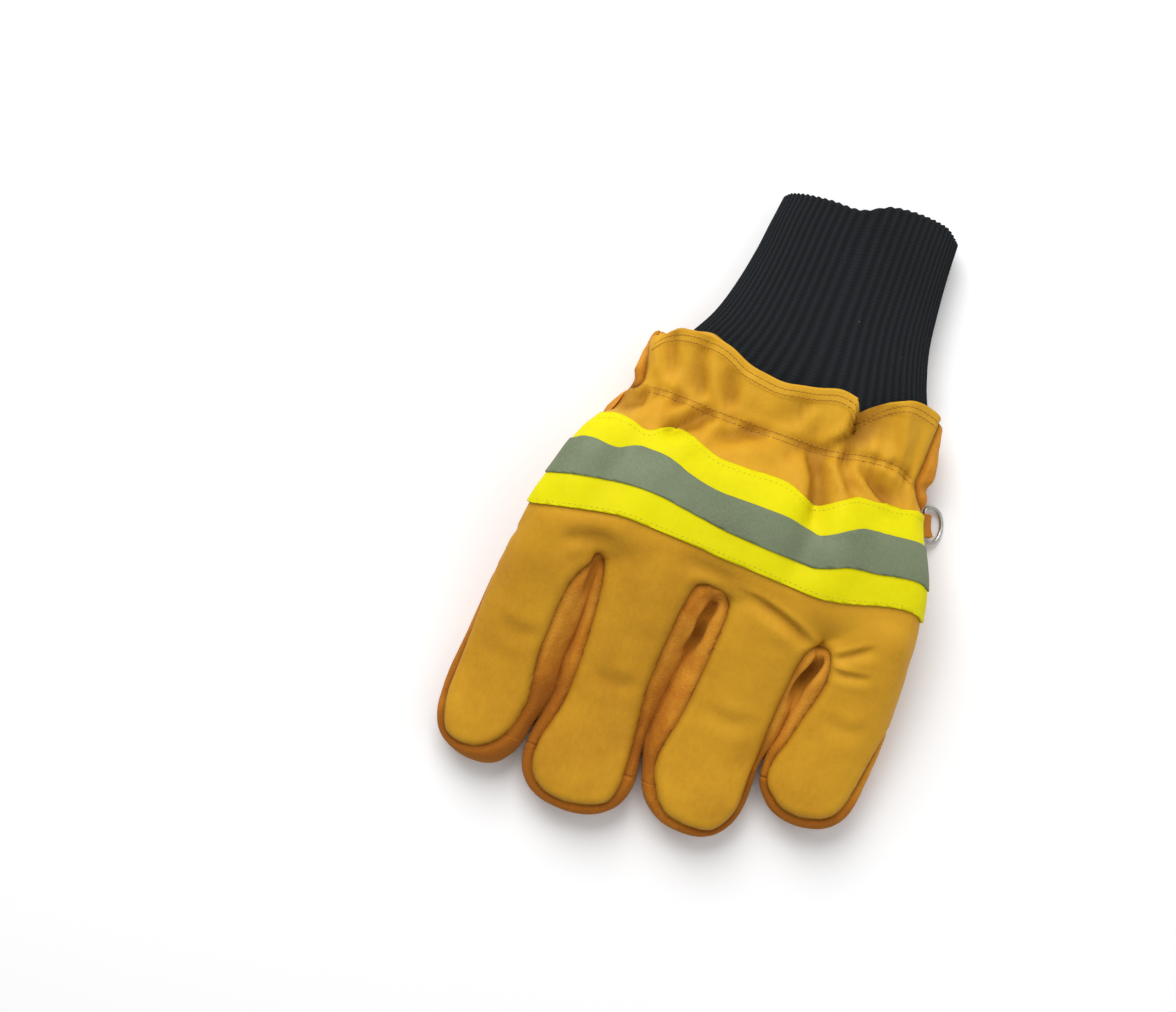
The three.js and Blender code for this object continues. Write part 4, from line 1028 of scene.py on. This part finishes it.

# Stitches: rows of thread on a piece, seen from above or from under, with a dark disc at each end that stands
# for the painted shade in its needle hole.
# Rings say how far along the stitch, how thick and how high above the leather.
stitching = {
    "pitch": 2.1,
    "length": 1.4,
    "radius": 0.2,
    "sides": 6,
    "rings": [(-1, 0.35, -0.3), (-0.72, 0.85, 0), (0, 1, 0.14), (0.72, 0.85, 0), (1, 0.35, -0.3)],
    "first": 0.6,
    "shortest": 0.6,
    "hole": 0.24,
    "holeSides": 8,
    "holeRings": [(1, -0.08), (0.75, 0.05)],
    "holeOut": 0.2,
    "tapeSize": 0.7,
}
# Rows of stitches across the glove: how far each runs from its edge towards the fingers, from where
# to where across, and how many points it follows.
rowsAcross = {
    "elastic": {"down": (0, 2.1), "across": (-46.5, 59.5), "points": 54},
    "hem": {"down": (2.5, 4.7), "across": (-51, 61), "points": 57},
    "tapeTop": {"down": tape["stitchIn"], "across": (-66, 68), "points": 90},
    "tapeBottom": {"down": -tape["stitchIn"], "across": (-73, 77), "points": 100},
    "palmHem": {"down": (2.5, 4.7), "across": (-46, 56), "points": 52},
    "palmElastic": {"down": (-1, 1.1), "across": (-46, 58), "points": 52},
}


def surfaceTree(piece):
    mesh = openMesh(piece)
    tree = BVHTree.FromBMesh(mesh)
    mesh.free()
    return tree


def landOn(tree, x, y, under):
    # where an upright line meets the piece, in glove millimetres, with its outward normal
    start = Vector(((x + shift[0]) / 1000, (y + shift[1]) / 1000, -0.02 if under else 0.12))
    way = 1 if under else -1
    spot, normal, face, away = tree.ray_cast(start, Vector((0, 0, way)))
    if spot is None:
        return None
    if normal.z * way > 0:
        normal = -normal
    return np.array(spot) * 1000 - shift, np.array(normal)


def sewRow(tree, path, under=False):
    # the stitches of one row: both ends and the normal; none where the path drops into a fold
    line = smoothPath(path, 0.5)
    spots = [hit for hit in (landOn(tree, x, y, under) for x, y in line) if hit]
    points = np.array([spot for spot, normal in spots])
    along = np.concatenate([[0], np.cumsum(np.linalg.norm(np.diff(points, axis=0), axis=1))])
    pitch, length = stitching["pitch"], stitching["length"]
    row = []
    for start in np.arange(stitching["first"], along[-1] - pitch, pitch):
        a, b = (np.array([np.interp(at, along, column) for column in points.T])
                for at in (start, start + length))
        if np.linalg.norm(b - a) > stitching["shortest"] * length:
            row.append((a, b, spots[int(np.searchsorted(along, start + length / 2))][1]))
    return row


def sew(name, rows, size=1):
    points, faces = [], []
    sides = stitching["sides"]
    angle = 2 * np.pi * np.arange(sides) / sides
    tube = tubeFaces(len(stitching["rings"]), sides)
    for a, b, n in rows:
        t = (b - a) / np.linalg.norm(b - a)
        aside = np.cross(n, t)
        aside /= np.linalg.norm(aside)
        up = np.cross(t, aside)
        first = len(points)
        for share, wide, high in stitching["rings"]:
            middle = (a + b) / 2 + t * share * np.linalg.norm(b - a) / 2 + up * high
            r = stitching["radius"] * wide * size
            points += [middle + r * (math.cos(v) * aside + 0.8 * math.sin(v) * up) for v in angle]
        faces += [tuple(first + i for i in face) for face in tube]
    piece = newMesh(name, aboveFloor(np.array(points)), faces)
    outward(piece)
    smooth(piece)
    return piece


def needleHoles(name, rows):
    # dark discs at both ends of each stitch: painted shade in the needle holes
    points, faces = [], []
    sides = stitching["holeSides"]
    angle = 2 * np.pi * np.arange(sides) / sides
    tube = tubeFaces(len(stitching["holeRings"]), sides)
    for a, b, n in rows:
        for end, way in ((a, -1), (b, 1)):
            t = (b - a) / np.linalg.norm(b - a)
            aside = np.cross(n, t)
            middle = end + t * way * stitching["holeOut"]
            first = len(points)
            for wide, high in stitching["holeRings"]:
                r = wide * stitching["hole"]
                points += [middle + r * (math.cos(v) * aside * 0.8 + math.sin(v) * t) + n * high
                           for v in angle]
            faces += [tuple(first + i for i in face) for face in tube]
    piece = newMesh(name, aboveFloor(np.array(points)), faces)
    outward(piece)
    return piece


def besideCurve(curve, down, row):
    return [(x, float(curve(x)) - down) for x in np.linspace(*row["across"], row["points"])]


def patchSeam():
    # along one side of the tongue, round its end and back
    halfAt = smoothLine([at - 0.045 for at in patch["at"]], patch["wide"])
    at = np.linspace(0.32, 0.925, 22)
    half = np.maximum(halfAt(at) * patch["width"] / 2 - 2.2, 0)
    y = patchStart + at * (patchEnd - patchStart)
    return [*zip(patchMiddle - half, y), *zip((patchMiddle + half)[::-1], y[::-1])]


backTree, palmTree = surfaceTree(parts["back"]), surfaceTree(parts["palm"])
leatherRows = []
for name, curve in (("elastic", elasticAt), ("hem", hemAt)):
    for down in rowsAcross[name]["down"]:
        leatherRows += sewRow(backTree, besideCurve(curve, down, rowsAcross[name]))
for name, height in (("palmHem", glove["stops"][3]), ("palmElastic", cuff["palmElastic"])):
    for down in rowsAcross[name]["down"]:
        leatherRows += sewRow(palmTree, besideCurve(lambda x: height, down, rowsAcross[name]), under=True)
leatherRows += sewRow(surfaceTree(patchPiece), patchSeam(), under=True)
tapeTree = surfaceTree(tapePiece)
tapeRows = []
for name, edge in (("tapeTop", "top"), ("tapeBottom", "bottom")):
    row = rowsAcross[name]
    tapeRows += sewRow(tapeTree, besideCurve(tapeEdge[edge], row["down"], row))
stitches = sew("stitches", leatherRows)
tapeStitches = sew("tapeStitches", tapeRows, stitching["tapeSize"])
holes = needleHoles("needleHoles", leatherRows)
print("stitches", len(leatherRows) + len(tapeRows))


class Shade:
    # one socket of a material; sums on it add Math nodes
    def __init__(self, tree, socket=None):
        self.tree = tree
        self.socket = socket

    def node(self, kind, settings=None, values=None, output=0):
        made = self.tree.nodes.new(kind)
        for key, value in (settings or {}).items():
            if key == "stops":
                ramp = made.color_ramp.elements
                for place, colour in value[2:]:
                    ramp.new(place)
                for element, (place, colour) in zip(ramp, value):
                    element.position, element.color = place, (*colour, 1)
            else:
                setattr(made, key, value)
        for key, value in (values or {}).items():
            if isinstance(value, Shade):
                self.tree.links.new(value.socket, made.inputs[key])
            else:
                made.inputs[key].default_value = value
        return Shade(self.tree, made.outputs[output])

    def sum(self, kind, a, b=0.0, clamp=False):
        return self.node("ShaderNodeMath", {"operation": kind, "use_clamp": clamp}, {0: a, 1: b})

    def __add__(self, other):
        return self.sum("ADD", self, other)

    def __radd__(self, other):
        return self.sum("ADD", other, self)

    def __sub__(self, other):
        return self.sum("SUBTRACT", self, other)

    def __rsub__(self, other):
        return self.sum("SUBTRACT", other, self)

    def __mul__(self, other):
        return self.sum("MULTIPLY", self, other)

    def __rmul__(self, other):
        return self.sum("MULTIPLY", other, self)

    def clamped(self):
        return self.sum("ADD", self, 0.0, clamp=True)

    def wave(self):
        return self.sum("SINE", self)

    def noise(self, size, detail=2.0, rough=0.5):
        # size is the width of one lump in millimetres
        values = {"Vector": self, "Scale": 500 / size, "Detail": detail, "Roughness": rough}
        return self.node("ShaderNodeTexNoise", {}, values)

    def cells(self, size):
        return self.node("ShaderNodeTexVoronoi", {}, {"Vector": self, "Scale": 1000 / size}, "Distance")

    def stretched(self, x, y, z):
        return self.node("ShaderNodeMapping", {}, {"Vector": self, "Scale": (x, y, z)})

    def axis(self, name):
        return self.node("ShaderNodeSeparateXYZ", {}, {0: self}, name)

    def ramp(self, places, tones):
        # screen colours at the given places
        stops = [(place, rgb(*tone)) for place, tone in zip(places, tones)]
        return self.node("ShaderNodeValToRGB", {"stops": stops}, {"Fac": self})

    def between(self, low, high):
        return self.node("ShaderNodeMapRange", {"clamp": True, "interpolation_type": "SMOOTHSTEP"},
                         {"Value": self, "From Min": low, "From Max": high})

    def mixed(self, base, tone):
        # self is how much of the screen colour tone lies over the base
        return self.node("ShaderNodeMix", {"data_type": "RGBA"}, {0: self, 6: base, 7: (*rgb(*tone), 1)}, 2)

    def bump(self, strength, depth):
        values = {"Height": self, "Strength": strength, "Distance": depth / 1000}
        return self.node("ShaderNodeBump", {}, values)


def rgb(r, g, b):
    # screen colour as a scene colour
    return tuple((c / 255 / 12.92) if c <= 10 else ((c / 255 + 0.055) / 1.055) ** 2.4 for c in (r, g, b))


def newFinish(name, **fixed):
    # a material with its fixed values set, and its starting points
    material = bpy.data.materials.new(name)
    material.use_nodes = True
    surface = material.node_tree.nodes["Principled BSDF"]
    for key, value in fixed.items():
        surface.inputs[key.replace("_", " ")].default_value = value
    start = Shade(material.node_tree)
    coordinates = start.node("ShaderNodeTexCoord", output="Object")

    def attribute(kind):
        return start.node("ShaderNodeAttribute", {"attribute_name": kind}, output="Fac")

    def use(**sockets):
        for key, value in sockets.items():
            material.node_tree.links.new(value.socket, surface.inputs[key.replace("_", " ")])
    return material, coordinates, attribute, use


# Fade is where along the glove the leather turns lighter, in metres, and lift by how much. The darker finger
# ends are partly the leather's own tone and partly painted shade where the fingers slope away from the light.
leathers = {
    "grainLeather": {
        "tones": [(176, 122, 30), (199, 146, 36), (212, 163, 44)],
        # deep: the colour along the seams and of the painted shade in creases
        "deep": (126, 74, 18),
        "roughness": 0.56, "fibre": 0.8, "sheen": 0.03, "mottle": 0.6, "bump": 0.2,
        "fade": (-0.06, 0), "lift": 0.06,
    },
    "suede": {
        "tones": [(156, 90, 24), (184, 114, 30), (206, 140, 44)],
        "deep": (104, 54, 12),
        "roughness": 0.9, "fibre": 1.2, "sheen": 0.14, "mottle": 1.3, "bump": 0.6,
        "fade": (-0.1, -0.07), "lift": 0.22,
    },
}
colours = {
    "knit": [(10, 12, 14), (22, 25, 28), (38, 42, 45)],
    "lint": (120, 122, 120),
    "yellow": [(206, 196, 0), (216, 207, 0)],
    # the darker yellow of the painted shade in the tape's creases
    "yellowCreaseShade": (206, 190, 20),
    "silver": [(94, 103, 78), (106, 116, 88), (116, 126, 99)],
    "steel": [(150, 148, 142), (205, 204, 198)],
    "thread": (190, 134, 36),
    # hole: the colour of the painted shade in the needle holes
    "hole": (128, 80, 20),
    "yellowThread": (226, 212, 4),
}


def leatherFinish(name):
    look = leathers[name]
    material, at, attribute, use = newFinish(
        name, Sheen_Weight=look["sheen"], Sheen_Roughness=0.6, Sheen_Tint=(1, 0.62, 0.2, 1),
        Specular_IOR_Level=0.22, Specular_Tint=(1, 0.8, 0.45, 1))
    broad = at.noise(34, 3, 0.55)
    blotch = at.noise(7, 3, 0.6)
    nap = at.stretched(1, 0.45, 1).noise(look["fibre"], 4, 0.7)
    mottle = look["mottle"]
    tone = (1 - mottle) * 0.5 + mottle * (0.5 * broad + 0.28 * blotch + 0.22 * nap)
    # lighter towards the wrist: partly the leather's tone, partly painted shade on the fingers that slope
    # away from the light
    tone = tone + (at.axis("Y").between(*look["fade"]) - 0.65) * look["lift"]
    base = tone.ramp((0.36, 0.5, 0.66), look["tones"])
    # darker along the seams, and painted shade in the creases and folds, towards the deep colour
    seamsAndCreaseShade = attribute("seam") * 0.6 + attribute("crease") * (0.35 + 0.5 * at.noise(5))
    colour = seamsAndCreaseShade.clamped().mixed(base, look["deep"])
    pores = at.cells(0.9)
    grain = 0.55 * pores + 0.9 * at.noise(0.5, 3, 0.6) + 0.7 * at.noise(2.4, 3)
    roughness = look["roughness"] + 0.16 * (blotch - 0.5)
    use(Base_Color=colour, Roughness=roughness, Normal=grain.bump(look["bump"], 0.35))
    return material


def knitFinish():
    material, at, attribute, use = newFinish(
        "ribKnit", Sheen_Weight=0.08, Sheen_Roughness=0.5, Specular_IOR_Level=0.15)
    crest = attribute("crest")
    course = attribute("course")
    loops = (course * (2 * math.pi / 1.35) + crest * 2.6).wave() * 0.5 + 0.5
    fuzz = at.noise(0.5, 3, 0.7)
    # painted shade: lighter on the rib crests, darker in the valleys between them
    tone = 0.1 + 0.34 * crest + 0.1 * loops + 0.4 * fuzz + 0.3 * (at.noise(30) - 0.5)
    lint = (at.cells(9) * -1.0 + 0.04).between(0, 0.02) * 0.5
    colour = lint.mixed(tone.ramp((0.15, 0.5, 0.95), colours["knit"]), colours["lint"])
    height = 0.4 * loops * crest + 0.45 * fuzz
    use(Base_Color=colour, Roughness=0.86 + 0.1 * fuzz, Normal=height.bump(0.35, 0.4))
    return material


def yellowFinish():
    material, at, attribute, use = newFinish("yellowTape", Specular_IOR_Level=0.12, Emission_Strength=0.05)
    threads = 2 * math.pi / 0.00062
    weave = (at.axis("X") * threads).wave() * (at.axis("Y") * threads).wave()
    tone = 0.6 * at.noise(18, 3) + 0.25 * at.noise(1.2, 2) + 0.08 * weave + 0.07
    base = tone.ramp((0.3, 0.6), colours["yellow"])
    # painted shade: darker yellow in the tape's creases
    colour = (attribute("crease") * 0.35).mixed(base, colours["yellowCreaseShade"])
    roughness = 0.6 + 0.1 * at.noise(4)
    use(Base_Color=colour, Emission_Color=colour, Roughness=roughness, Normal=weave.bump(0.18, 0.12))
    return material


def silverFinish():
    material, at, attribute, use = newFinish("silverTape", Metallic=0.06, Specular_IOR_Level=0.3)
    beads = at.cells(0.42)
    tone = 0.5 * at.noise(16, 3) + 0.3 * beads + 0.2 * at.noise(1, 3, 0.7)
    colour = tone.ramp((0.3, 0.45, 0.62), colours["silver"])
    use(Base_Color=colour, Roughness=0.55 + 0.1 * at.noise(6), Normal=(1 - beads).bump(0.12, 0.08))
    return material


def steelFinish():
    material, at, attribute, use = newFinish("ringSteel", Metallic=1.0)
    marks = at.stretched(1, 6, 6).noise(1.2, 4, 0.7)
    colour = marks.ramp((0.3, 0.6), colours["steel"])
    use(Base_Color=colour, Roughness=0.2 + 0.22 * at.noise(1.5, 3), Normal=marks.bump(0.15, 0.06))
    return material


def threadFinish(name, colour, roughness):
    material, at, attribute, use = newFinish(name)
    twist = at.noise(0.35, 2)
    shade = twist.ramp((0.3, 0.65), ([c * 0.8 for c in colour], colour))
    use(Base_Color=shade, Roughness=roughness + 0.1 * twist, Normal=twist.bump(0.3, 0.1))
    return material


grainLeather, suede = leatherFinish("grainLeather"), leatherFinish("suede")
thread = threadFinish("thread", colours["thread"], 0.7)
hole = threadFinish("needleHole", colours["hole"], 0.9)
yellowThread = threadFinish("yellowThread", colours["yellowThread"], 0.6)
print("materials made")

camera = bpy.data.objects.new("camera", bpy.data.cameras.new("camera"))
bpy.context.scene.collection.objects.link(camera)
camera.data.lens = 85
camera.data.sensor_width = 36
camera.location = (-0.0534, -0.01765, 1.075)
camera.rotation_euler = (0, 0, math.radians(20))
bpy.context.scene.camera = camera

# Floor and soft studio light
studio = {
    "floor": 3.0,
    "key": {"place": (-0.46, 0.74, 1.0), "size": 1.0, "power": 17.5},
    "fill": {"place": (0.7, 0.2, 1.0), "size": 1.2, "power": 3},
    "sky": 0.42,
}
bpy.ops.object.select_all(action="DESELECT")
bpy.ops.mesh.primitive_plane_add(size=studio["floor"], location=(0, 0, -0.0002))
floor = bpy.context.active_object
floor.name = "floor"
paper = bpy.data.materials.new("paper")
paper.use_nodes = True
paper.node_tree.nodes["Principled BSDF"].inputs["Base Color"].default_value = (0.96, 0.96, 0.96, 1)
paper.node_tree.nodes["Principled BSDF"].inputs["Roughness"].default_value = 0.9
floor.data.materials.append(paper)
for name in ("key", "fill"):
    light = bpy.data.objects.new(name, bpy.data.lights.new(name, "AREA"))
    bpy.context.scene.collection.objects.link(light)
    light.data.size = studio[name]["size"]
    light.data.energy = studio[name]["power"]
    light.location = studio[name]["place"]
    light.rotation_euler = (-Vector(studio[name]["place"])).to_track_quat("-Z", "Y").to_euler()
world = bpy.data.worlds.new("studio")
world.use_nodes = True
world.node_tree.nodes["Background"].inputs["Color"].default_value = (1, 1, 1, 1)
world.node_tree.nodes["Background"].inputs["Strength"].default_value = studio["sky"]
bpy.context.scene.world = world
bpy.context.scene.view_settings.view_transform = "Standard"

# Each finished piece with the CAD node it stands for, its slot and its materials; the leather has a
# second one for its inner side.
suedeNodes = {
    "palm": "palm_panel",
    "frontIndex": "front_index",
    "frontMiddle": "front_middle",
    "frontRing": "front_ring",
    "frontLittle": "front_little",
    "wallIndexMiddle": "wall_index_middle",
    "wallMiddleRing": "wall_middle_ring",
    "wallRingLittle": "wall_ring_little",
}
dressed = [
    (parts["back"], "back_panel", "grain_leather", [grainLeather, suede]),
    *[(parts[name], node, "suede", [suede, suede]) for name, node in suedeNodes.items()],
    (thumbPiece, "thumb", "suede", [suede]),
    (wristlet, "wristlet", "rib_knit", [knitFinish()]),
    (patchPiece, "wrist_patch", "suede", [suede]),
    (tapePiece, "tape", "yellow_tape", [yellowFinish()]),
    (silverPiece, "tape_silver", "silver_tape", [silverFinish()]),
    (tabPiece, "ring_tab", "suede", [suede]),
    (ringPiece, "d_ring", "ring_steel", [steelFinish()]),
    (stitches, None, "suede", [thread]),
    (holes, None, "suede", [hole]),
    (tapeStitches, None, "yellow_tape", [yellowThread]),
]
for piece, node, slot, materials in dressed:
    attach(piece, "ring" if piece is ringPiece else "glove")
    if node:
        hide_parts(node)
    piece.data.materials.clear()
    for material in materials:
        piece.data.materials.append(material)
